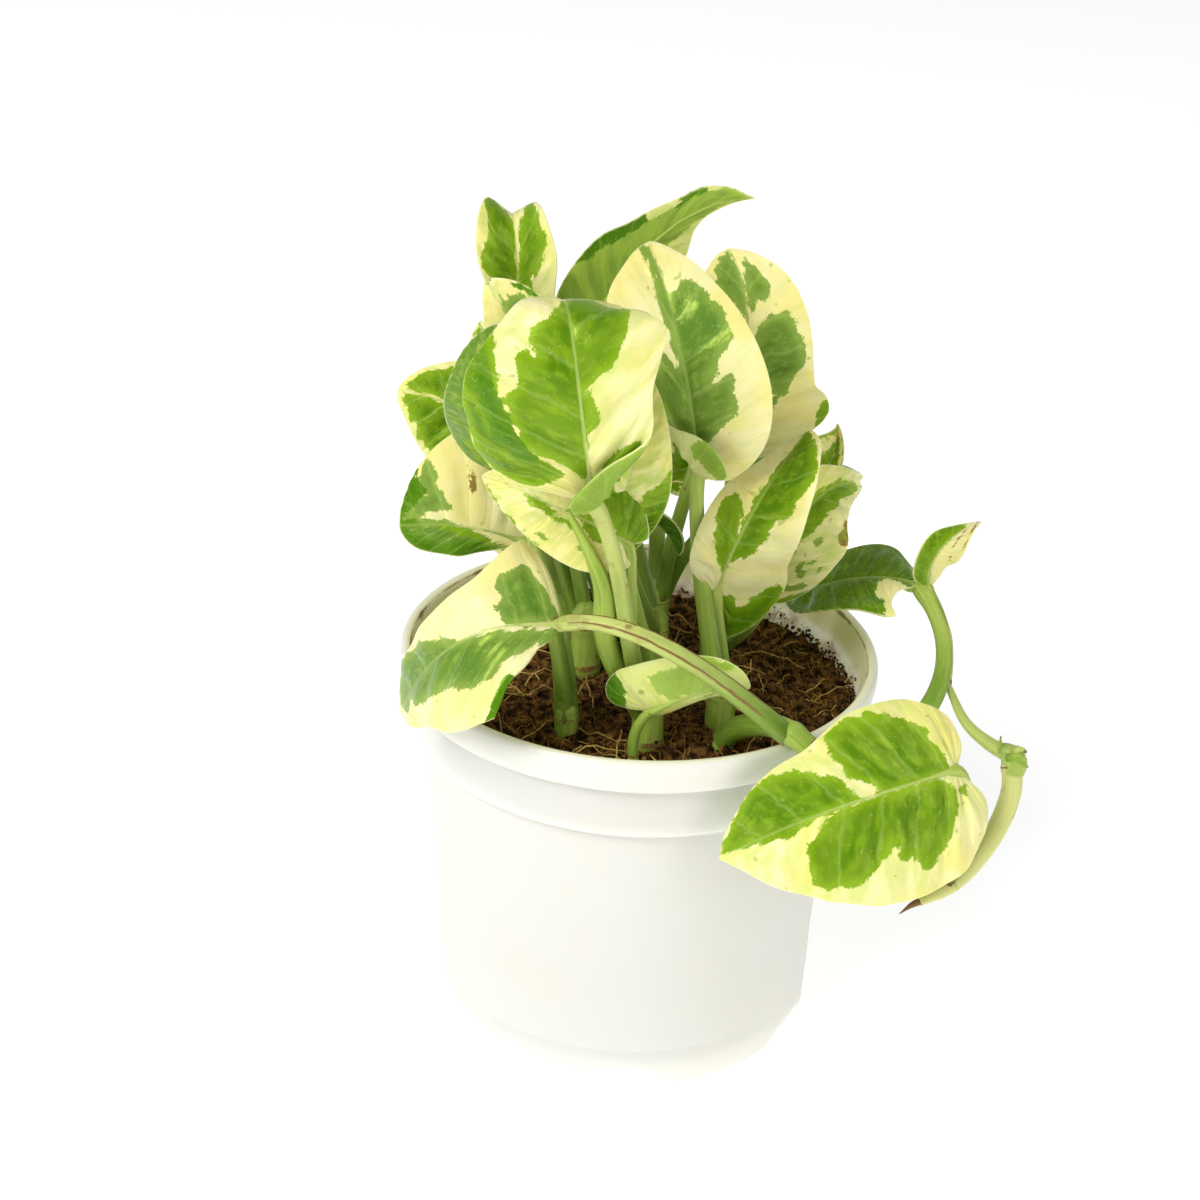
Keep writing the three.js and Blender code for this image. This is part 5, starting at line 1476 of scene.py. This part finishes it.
def trailing_vine() -> Shoot:
    """The vine that climbs over the rim at the right and hangs there."""
    rim = Leaf(
        "rim_leaf", stalk=((38, -53, 112), (12, -67, 142), (-7, -62, 149)), taper=(2.7, 1.7),
        rib=((-20, -52, 139), (-32, -62, 145), (-50, -64, 142), (-60, -42, 106)),
        side=(-0.3, 0.6, 0.75), width=46, halves=(1, 0.85), fold=(3, 3), cup=(-10, -12),
        outline=(RIM_LEFT, RIM_RIGHT), flap=((36, -150), None), scar=0.9, pallor_and_light=0.5,
        patches=(
            Patch(Tone.BROWN, (
                (-2, -3), (6, -2), (10, 1.5), (5, 3), (3, 6), (-2, 5), (-8, 2), (-14, 3),
                (-10, -1))),
            Patch(Tone.GREY, (
                (80, 13.5), (74, 10), (63, 8.5), (50, 6.5), (33, 3), (20, 1), (8, 0), (-3, 13),
                (0, 20), (5, 22.5), (15, 23.5), (25, 25), (37, 22.5), (58, 23), (66, 20),
                (72, 16.5))),
            Patch(Tone.DARK, (
                (-50, 25), (-66, 32), (-86, 41), (-100, 46), (-130, 40), (-120, 25), (-80, 15))),
            Patch(Tone.GREY, (
                (-2, 2), (-7, 10), (-6, 20), (-3, 27.5), (0, 34.5), (2, 39.5), (10, 43.5),
                (16, 46.5), (26, 55), (36, 61), (38, 69), (40, 77), (30, 87), (10, 94), (2, 95),
                (-12, 91), (-13, 88.5), (-10, 83), (-20, 80), (-27, 72), (-32, 67), (-33, 61),
                (-35, 56), (-42, 51), (-48, 45), (-53, 44), (-53, 39.5), (-52, 34.5), (-50, 32),
                (-40, 26.5), (-33, 19.5), (-25, 13), (-18, 3))),
        ))
    low = Leaf(
        "low_vine_leaf", stalk=((83, -53.6, 71), (85, -50, 78), (90, -46, 92)), taper=(1.9, 1.8),
        rib=((80, -58, 108), (62, -72, 109), (41, -74, 102), (23, -66, 83)), side=(-0.3, 0.35, 0.9),
        width=54, halves=(1, 0.82), fold=(5, 5), cup=(-12, -12), outline=(LOW_LEFT, LOW_RIGHT),
        flush=0.38,
        patches=(
            Patch(Tone.GREEN, (
                (3, 3), (28, 7), (39, 9), (60, 12), (70, 16.5), (76, 21.5), (86, 23), (88, 28),
                (94, 31), (88, 32.5), (92, 37), (84, 42), (81, 45.5), (71, 45), (62, 46), (53, 44),
                (34, 42), (27, 41), (18, 37.5), (9, 33.5), (0, 34.5), (-1, 20))),
            Patch(Tone.GREEN, (
                (0, 38.5), (6, 40.5), (13, 42), (24, 43), (33, 45), (39, 48.5), (49, 54),
                (57, 58.5), (60, 63), (61, 67.5), (58, 72), (53, 76.5), (45, 81), (28, 88), (5, 98),
                (-2, 87), (-7, 75), (-11, 69), (-6, 64), (-3, 58), (-2, 45))),
            Patch(Tone.GREEN, (
                (-5, 6), (-13, 4), (-25, 3.5), (-41, 5), (-53, 7.5), (-65, 11.5), (-72, 16),
                (-81, 18.5), (-81, 21.5), (-78, 25), (-65, 26.5), (-67, 30), (-60, 33), (-45, 31),
                (-49, 34), (-55, 37), (-61, 40), (-66, 44), (-72, 51), (-72, 56), (-67, 59),
                (-69, 64), (-62, 67), (-53, 68), (-37, 66), (-31, 66), (-21, 63.5), (-17, 60),
                (-6, 52), (-2, 45), (-1, 30), (-2, 15))),
            Patch(Tone.GREEN, ((-15, -3), (-25, -2), (-22, 1.5), (-16, 1))),
        ))
    drooping = Leaf(
        "drooping_vine_leaf", stalk=((74, -34, 110), (81, -29, 119), (82, -12, 124)),
        taper=(2.6, 1.8), rib=((73, 0, 130), (65, -2, 135), (52, 4, 130), (39, 16, 116)),
        side=(0, 1, 0.15), width=38, halves=(0.75, 0.85), fold=(5, 5), cup=(-15, -15),
        outline=(HOOK_LEFT, None), centre=0.2, base=Tone.GREEN,
        patches=(
            Patch(Tone.CREAM, (
                (-4, 20), (-30, 23.5), (-60, 22), (-83, 17), (-110, 16.5), (-130, 10), (-100, 0),
                (-50, 3), (-15, 10))),
        ))
    small = Leaf(
        "small_vine_leaf", stalk=((79.6, -16.5, 122.5), (80, -9, 126), (77, -3, 128)),
        taper=(1.6, 1.4), rib=((76, 0, 130), (75, -2, 139), (78, -3, 146), (88, 4, 148)),
        side=(0.8, -0.2, 0.5), width=13, halves=(0.8, 0.95), fold=(30, 5), cup=(0, 0),
        heart=(-0.5, -0.5), outline=(None, WIDE_TIP),
        patches=(
            Patch(Tone.GREEN, (
                (-2, 2), (-30, -8), (-90, -6), (-120, 30), (-110, 60), (-80, 78), (-50, 86),
                (-20, 85), (2, 80), (3, 60), (2, 40), (2, 20))),
            Patch(Tone.BROWN, (
                (-10, 101), (40, 99), (90, 88), (120, 78), (145, 70), (145, 60), (124, 62),
                (120, 72), (90, 81), (45, 90), (10, 96.5))),
            Patch(Tone.BROWN, ((50, 75), (56, 60), (60, 48), (64, 48), (63, 60), (56, 76))),
        ))
    runs = (
        Run("climbing_vine", (
            (23, -37, 101), (26, -40, 106), (33, -46, 111), (39, -53, 113), (47, -57, 109),
            (58, -52, 106), (68, -43, 107), (74, -34, 110)), (3.2, 3.1, 2.6), nodes=(0.44, 0.97)),
        Run("thin_vine", ((80, -28, 116), (85.5, -32, 107), (91.5, -35, 103), (97, -37, 101)),
            (0.9, 1.5, 2.4), pallor_and_light=0.35),
        Run("hanging_vine", (
            (97.3, -37, 101), (97.8, -41, 93), (94.5, -45, 83), (89, -49, 75), (84, -53, 71),
            (79.5, -55, 69), (75.5, -56.3, 67.4)), (2.7, 2.5, 1.3), nodes=(0.06, 0.8),
            brown_from=0.96, pallor_and_light=0.85),
        Run("aerial_root", ((77, -55.8, 68), (73.5, -57, 66.6), (70.5, -57.8, 64.2)),
            (1.1, 0.75, 0.12), brown_from=-0.1),
        Run("vine_sheath", (
            (78.5, -6, 127.5), (81, -14.5, 123.3), (81.3, -21, 119.6), (80.6, -28.5, 115.4)),
            (0.9, 0.7, 0.6), brown_from=0.88, pallor_and_light=1.0),
        Run("node_sheath", (
            (93.5, -36, 102.2), (96, -37, 101.8), (98.3, -38.6, 100), (98.2, -40, 97)),
            (1.6, 3.1, 2.5), nodes=(0.45,), pallor_and_light=0.25),
        Run("node_flap", (
            (96, -39, 101.5), (98.4, -40.2, 102.3), (99.6, -40.6, 101.4), (101.2, -41, 100)),
            (1.5, 1.3, 0.2), brown_from=0.9),
        Run("node_spike", ((94.6, -37.2, 101.8), (94, -37.6, 104.2), (93.8, -37.8, 107)),
            (1.0, 0.6, 0.12), brown_from=0.85),
        Run("node_curl", (
            (98.2, -39, 101), (98.2, -39.6, 104), (99.2, -40, 104.6), (100.4, -40.4, 104)),
            (1.2, 0.9, 0.3), brown_from=0.8, pallor_and_light=0.3),
    )
    return Shoot("trailing_vine", (23, -37), 3.4, 100, (rim, low, drooping, small), runs)


# ---------------------------------------------------------------- pot and soil


@dataclass(frozen=True)
class Pot:
    """The moulded nursery pot: a lathe form with a rolled rim, foot notches and drain holes.

    Profiles are pairs of radius and height. `band`, `step` and `waist` say where the inner wall
    changes its slope. The dirt is a share, from the rim down, that also sets the painted glow
    inside.
    """

    wall: float = 1.6
    segments: int = 240
    sharp: float = 35
    band: Flat = (60.1, 84.2)
    step: Flat = (57.6, 84.2)
    waist: Flat = (53.4, 24)
    outside: tuple[Flat, ...] = (
        (52.6, 0), (53.05, 0.45), (53.15, 11.0), (53.3, 11.5), (53.4, 12), (53.4, 24), (53.7, 31),
        (54.25, 39), (54.75, 44), (55.1, 50), (56.0, 60), (56.8, 70), (57.5, 80), (57.75, 83.2),
        (58.2, 83.9), (59.6, 84.0), (60.0, 84.3), (60.15, 84.9), (60.5, 90), (60.9, 96),
        (61.1, 98.6), (61.5, 99.1), (63.2, 99.2), (63.6, 99.5), (63.9, 100.2), (64.5, 102),
        (64.8, 103.6), (65.0, 105.4), (64.98, 106.8), (64.7, 107.8), (64.2, 108.35), (63.4, 108.6),
        (62.6, 108.35), (62.05, 107.8), (61.7, 106.6), (61.35, 104.4))
    inside_heights: tuple[float, ...] = (96, 87, 84.2, 81, 70, 60, 50, 40, 32, 24)
    floor: tuple[Flat, ...] = ((51.8, 9), (51.3, 7), (50.2, 6), (48.8, 5.6), (0, 5.6))
    underside: tuple[Flat, ...] = ((0, 3.8), (50.4, 3.8), (50.8, 3.4), (51.1, 0.3), (51.5, 0))
    notch_count: int = 6
    notch_first: float = -86
    notch: tuple[Flat, ...] = ((-14.5, -1), (14.5, -1), (5.5, 3.6), (-5.5, 3.6))
    hole_count: int = 6
    hole_circle: float = 34
    hole_radius: float = 4
    lip_dirt_and_glow: tuple[float, ...] = (0.1, 0.14, 0.2, 0.85, 0.3, 0.24)
    wall_dirt_and_glow: tuple[float, ...] = (0.8, 0.8, 0.5)

    def inner_radius(self, z: float) -> float:
        """The inner wall's radius at a height."""
        top, low = self.step, self.waist
        if z > self.band[1]:
            return self.band[0] - self.wall + (z - self.band[1]) * 0.1
        share = max(0.0, (z - low[1]) / (top[1] - low[1]))
        return low[0] + (top[0] - low[0]) * share**1.1 - self.wall

    def lathe(self) -> Draft:
        """Turn the profile round the axis, with the dirt and the painted glow that its rim and
        inner wall carry.
        """
        inside = [(self.inner_radius(z), z) for z in self.inside_heights]
        profile = np.array([*self.underside[1:], *self.outside, *inside, *self.floor[:-1]], float)
        dirt = np.zeros(len(profile))
        wall = len(self.underside) - 1 + len(self.outside)
        # The lip and inside carry the dirt share, which also paints them the cream glow of light
        # through the plastic.
        dirt[wall - len(self.lip_dirt_and_glow):wall] = self.lip_dirt_and_glow
        dirt[wall:wall + 3] = self.wall_dirt_and_glow
        dirt[wall + 3:] = 0.3
        angle = np.arange(self.segments) * 2 * math.pi / self.segments
        rings = np.stack([profile[:, :1] * np.cos(angle), profile[:, :1] * np.sin(angle),
                          np.repeat(profile[:, 1:], self.segments, 1)], -1)
        middles = [[0, 0, self.floor[-1][1]], [0, 0, self.underside[0][1]]]
        points = np.vstack([rings.reshape(-1, 3), middles])
        spots = np.concatenate([np.repeat(dirt, self.segments), [0.5, 0]])
        faces = []
        for i in range(len(profile) - 1):
            for k in range(self.segments):
                a, b = i * self.segments + k, i * self.segments + (k + 1) % self.segments
                faces.append((a, b, b + self.segments, a + self.segments))
        top, low, last = len(points) - 2, len(points) - 1, (len(profile) - 1) * self.segments
        for k in range(self.segments):
            following = (k + 1) % self.segments
            faces.append((last + k, last + following, top))
            faces.append((following, k, low))
        return Draft(points, faces, {"dirt": spots})

    def cutters(self) -> Draft:
        """Build the blocks that cut the foot notches and the drain holes."""
        made = Draft(np.zeros((0, 3)), [])
        for i in range(self.notch_count):
            turn = math.radians(self.notch_first + 360 * i / self.notch_count)
            out = np.array([math.cos(turn), math.sin(turn), 0])
            side = np.array([-math.sin(turn), math.cos(turn), 0])
            ring = [side * x + (0, 0, z) for x, z in self.notch]
            points = np.array([out * reach + p for reach in (46, 58) for p in ring])
            sides = [(k, (k + 1) % 4, (k + 1) % 4 + 4, k + 4) for k in range(4)]
            faces = [(3, 2, 1, 0), (4, 5, 6, 7), *sides]
            made = made.joined(Draft(points, faces))
        for i in range(self.hole_count):
            turn = 2 * math.pi * i / self.hole_count
            centre = np.array([math.cos(turn), math.sin(turn), 0]) * self.hole_circle
            line = np.array([centre + (0, 0, z) for z in (1, 5, 9)])
            made = made.joined(tube(line, np.full(3, self.hole_radius), 32, (1, 0, 0)))
        return Draft(made.points, made.faces)

    def build(self, finish: bpy.types.Material) -> None:
        """Make the pot and cut its notches and holes."""
        pot = self.lathe().build("nursery_pot", finish, self.sharp)
        block = self.cutters().build("cutters", finish)
        cut = pot.modifiers.new("cut", "BOOLEAN")
        cut.operation, cut.solver, cut.object = "DIFFERENCE", "EXACT", block
        bpy.context.view_layer.update()
        done = pot.evaluated_get(bpy.context.evaluated_depsgraph_get())
        carved = bpy.data.meshes.new_from_object(done)
        pot.modifiers.clear()
        pot.data = carved
        bpy.data.objects.remove(block)
        carved.polygons.foreach_set("use_smooth", [True] * len(carved.polygons))
        carved.set_sharp_from_angle(angle=math.radians(self.sharp))
        settle(pot, "pot")


@dataclass(frozen=True)
class Threads:
    """One kind of loose thread on the soil: how many, and the range of their sizes in mm."""

    seed: int
    count: int
    length: Pair
    curl: float
    rise: float
    girth: Pair


@dataclass(frozen=True)
class Soil:
    """The coir in the pot: a rough surface with crumbs and fibres on it."""

    pot: Pot
    level: float = 98.6
    dip: float = 4.5
    bump: float = 0.8
    gap: float = 0.35
    segments: int = 260
    rings: int = 90
    crumbs: int = 2600
    wall_crumbs: int = 520
    edge: float = 94
    base: float = 6
    wall_heights: tuple[float, ...] = (87, 84.2, 81, 50, 24)
    corners: tuple[Flat, ...] = ((51.0, 9.2), (48, 6))
    lumps: tuple[tuple[float, int, float], ...] = ((5, 3, 0.7), (2.2, 4, 0.45), (12, 5, 0.7))
    fibres: Threads = Threads(12, 620, (3, 12), 0.34, 2, (0.07, 0.14))
    rootlets: Threads = Threads(13, 80, (10, 30), 0.13, 4.5, (0.12, 0.22))

    def height(self, points: np.ndarray) -> np.ndarray:
        """The packed soil's height at places, with its slope down to the back right."""
        x, y = points[:, 0], points[:, 1]
        lumps = np.sin(x * 0.33 + 1.1) * np.cos(y * 0.29 - 0.4) + 0.6 * np.sin(x * 0.71 - y * 0.53)
        return self.level - self.dip * smooth_step((x + 0.8 * y) / 60, 0, 1) + self.bump * lumps

    def rough(self, points: np.ndarray) -> np.ndarray:
        """The soil's height with its fine lumps."""
        flat = points[:, :2]
        fine = sum(ripple_noise(flat, length, seed) * rise for length, seed, rise in self.lumps)
        return self.height(points) + fine

    def surface(self) -> Draft:
        """Build the filling, closed below."""
        wall = self.pot.inner_radius(self.edge) - self.gap
        radii = wall * np.linspace(0, 1, self.rings + 1)[1:] ** 0.8
        angle = np.arange(self.segments) * 2 * math.pi / self.segments
        ring = np.stack([np.cos(angle), np.sin(angle), np.zeros_like(angle)], -1)
        top = (radii[:, None, None] * ring).reshape(-1, 3)
        top[:, 2] = self.rough(top)
        sides = [(self.pot.inner_radius(z) - self.gap, z) for z in self.wall_heights]
        sides += self.corners
        walls = np.vstack([ring * r + (0, 0, z) for r, z in sides])
        middle = np.zeros((1, 3))
        middle[:, 2] = self.rough(middle)
        points = np.vstack([top, walls, middle, [[0, 0, self.base]]])
        faces, n = [], self.segments
        for i in range(self.rings + len(sides) - 1):
            for k in range(n):
                a, b = i * n + k, i * n + (k + 1) % n
                faces.append((a, a + n, b + n, b))
        low = (self.rings + len(sides) - 1) * n
        for k in range(n):
            following = (k + 1) % n
            faces.append((len(points) - 2, k, following))
            faces.append((len(points) - 1, low + following, low + k))
        return Draft(points, faces)

    def scatter(self, draw: np.random.Generator, count: int, inset: float) -> np.ndarray:
        """Draw places over the soil's surface."""
        limit = self.pot.inner_radius(self.edge) - self.gap - inset
        reach = limit * np.sqrt(draw.uniform(0, 1, count))
        turn = draw.uniform(0, 2 * math.pi, count)
        points = np.column_stack([reach * np.cos(turn), reach * np.sin(turn), np.zeros(count)])
        points[:, 2] = self.rough(points)
        return points

    def wall_places(self, draw: np.random.Generator) -> np.ndarray:
        """Draw places on the wall just above the soil, most of them at the back right."""
        turn = draw.normal(0.35, 0.75, self.wall_crumbs)
        points = np.column_stack([np.cos(turn), np.sin(turn), np.zeros(len(turn))])
        height = self.height(points * 59) + np.abs(draw.normal(0, 1.7, len(turn))) + 0.2
        points *= (self.pot.inner_radius(96) - 0.55 + np.maximum(0, height - 96) * 0.2)[:, None]
        points[:, 2] = height
        return points

    def crumb_heap(self) -> Draft:
        """Build the crumbs as small rough lumps, half sunk in."""
        draw = np.random.default_rng(11)
        ball, shell = icosphere()
        places = np.vstack([self.scatter(draw, self.crumbs, 1.5), self.wall_places(draw)])
        points, faces = [], []
        for i, place in enumerate(places):
            size = draw.uniform(0.35, 1.0) ** 2 * (1.15 if i < self.crumbs else 0.55)
            stretch = draw.uniform(0.55, 1.35, 3)
            shape = ball * stretch * (1 + 0.25 * draw.normal(size=(len(ball), 1)).clip(-1, 1))
            points.append(place + shape * size + (0, 0, size * 0.25))
            faces += [tuple(k + i * len(ball) for k in face) for face in shell]
        return Draft(np.vstack(points), faces)

    def fibre_mat(self, threads: Threads) -> Draft:
        """Build the loose threads of one kind that lie over the surface."""
        draw = np.random.default_rng(threads.seed)
        points, faces, shift = [], [], 0
        limit = self.pot.inner_radius(self.edge) - 1.2
        for place in self.scatter(draw, threads.count, 2):
            steps, length = 9, draw.uniform(*threads.length)
            heading = draw.uniform(0, 2 * math.pi) + np.cumsum(draw.normal(0, threads.curl, steps))
            line = np.zeros((steps, 3))
            line[:, 0] = place[0] + np.cumsum(np.cos(heading)) * length / steps
            line[:, 1] = place[1] + np.cumsum(np.sin(heading)) * length / steps
            far = np.linalg.norm(line[:, :2], axis=1)
            line[:, :2] *= np.minimum(1, limit / far)[:, None]
            rise = draw.uniform(0, threads.rise) * np.sin(np.linspace(0, math.pi, steps))
            rise = rise * draw.choice([0.25, 1])
            line[:, 2] = self.rough(line) + 0.35 + rise
            thin = tube(line, np.full(steps, draw.uniform(*threads.girth)), 5, (0, 0, 1))
            points.append(thin.points)
            faces += [tuple(k + shift for k in face) for face in thin.faces]
            shift += len(thin.points)
        return Draft(np.vstack(points), faces)

    def build(self) -> None:
        """Make and dress the soil's pieces."""
        dark = SoilFinish("coir_soil", (0.014, 0.006, 0.0015), (0.19, 0.09, 0.02)).material()
        crumb = SoilFinish("coir_crumb", (0.035, 0.015, 0.003), (0.25, 0.12, 0.03)).material()
        fibre = SoilFinish("coir_fibre", (0.18, 0.09, 0.02), (0.42, 0.23, 0.055), 0.7).material()
        rootlet = SoilFinish("rootlet", (0.42, 0.27, 0.06), (0.66, 0.47, 0.15), 0.6).material()
        settle(self.surface().build("soil_surface", dark), "soil")
        settle(self.crumb_heap().build("soil_crumbs", crumb), "soil")
        settle(self.fibre_mat(self.fibres).build("soil_fibres", fibre), "soil")
        settle(self.fibre_mat(self.rootlets).build("soil_rootlets", rootlet), "soil")


def icosphere() -> tuple[np.ndarray, list[tuple[int, ...]]]:
    """Make a small ball's points and faces."""
    gold = (1 + math.sqrt(5)) / 2
    corners = [(-1, gold, 0), (1, gold, 0), (-1, -gold, 0), (1, -gold, 0),
               (0, -1, gold), (0, 1, gold), (0, -1, -gold), (0, 1, -gold),
               (gold, 0, -1), (gold, 0, 1), (-gold, 0, -1), (-gold, 0, 1)]
    faces = [(0, 11, 5), (0, 5, 1), (0, 1, 7), (0, 7, 10), (0, 10, 11),
             (1, 5, 9), (5, 11, 4), (11, 10, 2), (10, 7, 6), (7, 1, 8),
             (3, 9, 4), (3, 4, 2), (3, 2, 6), (3, 6, 8), (3, 8, 9),
             (4, 9, 5), (2, 4, 11), (6, 2, 10), (8, 6, 7), (9, 8, 1)]
    return unit(np.array(corners, float)), faces


# ---------------------------------------------------------------- studio


@dataclass(frozen=True)
class Lamp:
    """One soft square light: where it hangs, its size in metres and its power."""

    name: str
    place: Point
    size: float
    power: float

    def hang(self, aim: Point) -> None:
        """Make the light and point it at the plant."""
        data = bpy.data.lights.new(self.name, "AREA")
        data.size, data.energy = self.size, self.power
        lamp = bpy.data.objects.new(self.name, data)
        lamp.location = self.place
        lamp.rotation_euler = (Vector(aim) - lamp.location).to_track_quat("-Z", "Y").to_euler()
        bpy.context.scene.collection.objects.link(lamp)


@dataclass(frozen=True)
class Studio:
    """The white sweep, the soft lights and the camera."""

    distance: float = 533.3
    camera_height: float = 385.6
    pitch: float = 0.4609
    yaw: float = -0.0212
    roll: float = 0.0461
    lens: float = 66.21
    sensor: float = 36
    sweep: float = 14.0
    white: float = 0.9
    glow: float = 0.47
    sky: float = 0.42
    aim: Point = (0, 0, 0.12)
    lamps: tuple[Lamp, ...] = (Lamp("key", (-0.95, -1.0, 1.35), 0.75, 25.0),
                               Lamp("fill", (1.2, -0.9, 0.8), 0.8, 6.0))

    def camera(self) -> None:
        """Set up the camera at the photograph's angle."""
        data = bpy.data.cameras.new("camera")
        data.lens, data.sensor_width, data.clip_start = self.lens, self.sensor, 0.02
        flat, sink = math.cos(self.pitch), -math.sin(self.pitch)
        ahead = Vector((math.sin(self.yaw) * flat, math.cos(self.yaw) * flat, sink))
        level = Vector((math.cos(self.yaw), -math.sin(self.yaw), 0))
        up = level.cross(ahead)
        right = math.cos(self.roll) * level + math.sin(self.roll) * up
        top = -math.sin(self.roll) * level + math.cos(self.roll) * up
        place = (np.array([0, -self.distance, self.camera_height]) + AXIS) * MM
        camera = bpy.data.objects.new("camera", data)
        axes = Matrix((right, top, -ahead)).transposed().to_4x4()
        camera.matrix_world = Matrix.Translation(place.tolist()) @ axes
        bpy.context.scene.collection.objects.link(camera)
        bpy.context.scene.camera = camera

    def build(self) -> None:
        """Make the floor, the sky's light, the lamps and the camera."""
        half = self.sweep / 2
        mesh = bpy.data.meshes.new("floor")
        corners = [(-half, -half, 0), (half, -half, 0), (half, half, 0), (-half, half, 0)]
        mesh.from_pydata(corners, [], [(0, 1, 2, 3)])
        floor = bpy.data.objects.new("floor", mesh)
        bpy.context.scene.collection.objects.link(floor)
        p = Palette("white_sweep")
        p.set(Base_Color=(self.white,) * 3, Roughness=0.9, Specular_IOR_Level=0.1,
              Emission_Color=(1.0, 1.0, 1.0), Emission_Strength=self.glow)
        mesh.materials.append(p.material)
        world = bpy.data.worlds.new("soft_sky")
        world.use_nodes = True
        sky = world.node_tree.nodes["Background"]
        sky.inputs["Color"].default_value = (1, 1, 1, 1)
        sky.inputs["Strength"].default_value = self.sky
        bpy.context.scene.world = world
        bpy.context.scene.view_settings.view_transform = "Standard"
        for lamp in self.lamps:
            lamp.hang(self.aim)
        self.camera()


# ---------------------------------------------------------------- the plant


def main() -> None:
    """Build the pot, the soil, every shoot and the studio in order."""
    logging.basicConfig(level=logging.INFO, format="%(message)s")
    pot = Pot()
    pot.build(PotFinish().material())
    Soil(pot).build()
    blades, stems = BladeFinish().material(), StemFinish().material()
    shoots = (front_shoot(), right_shoot(), left_back_shoot(), left_shoot(), top_shoot(),
              right_back_shoot(), *back_shoots(), low_leaf(), trailing_vine())
    for shoot in shoots:
        shoot.build(blades, stems)
    Studio().build()


if __name__ == "__main__":
    main()
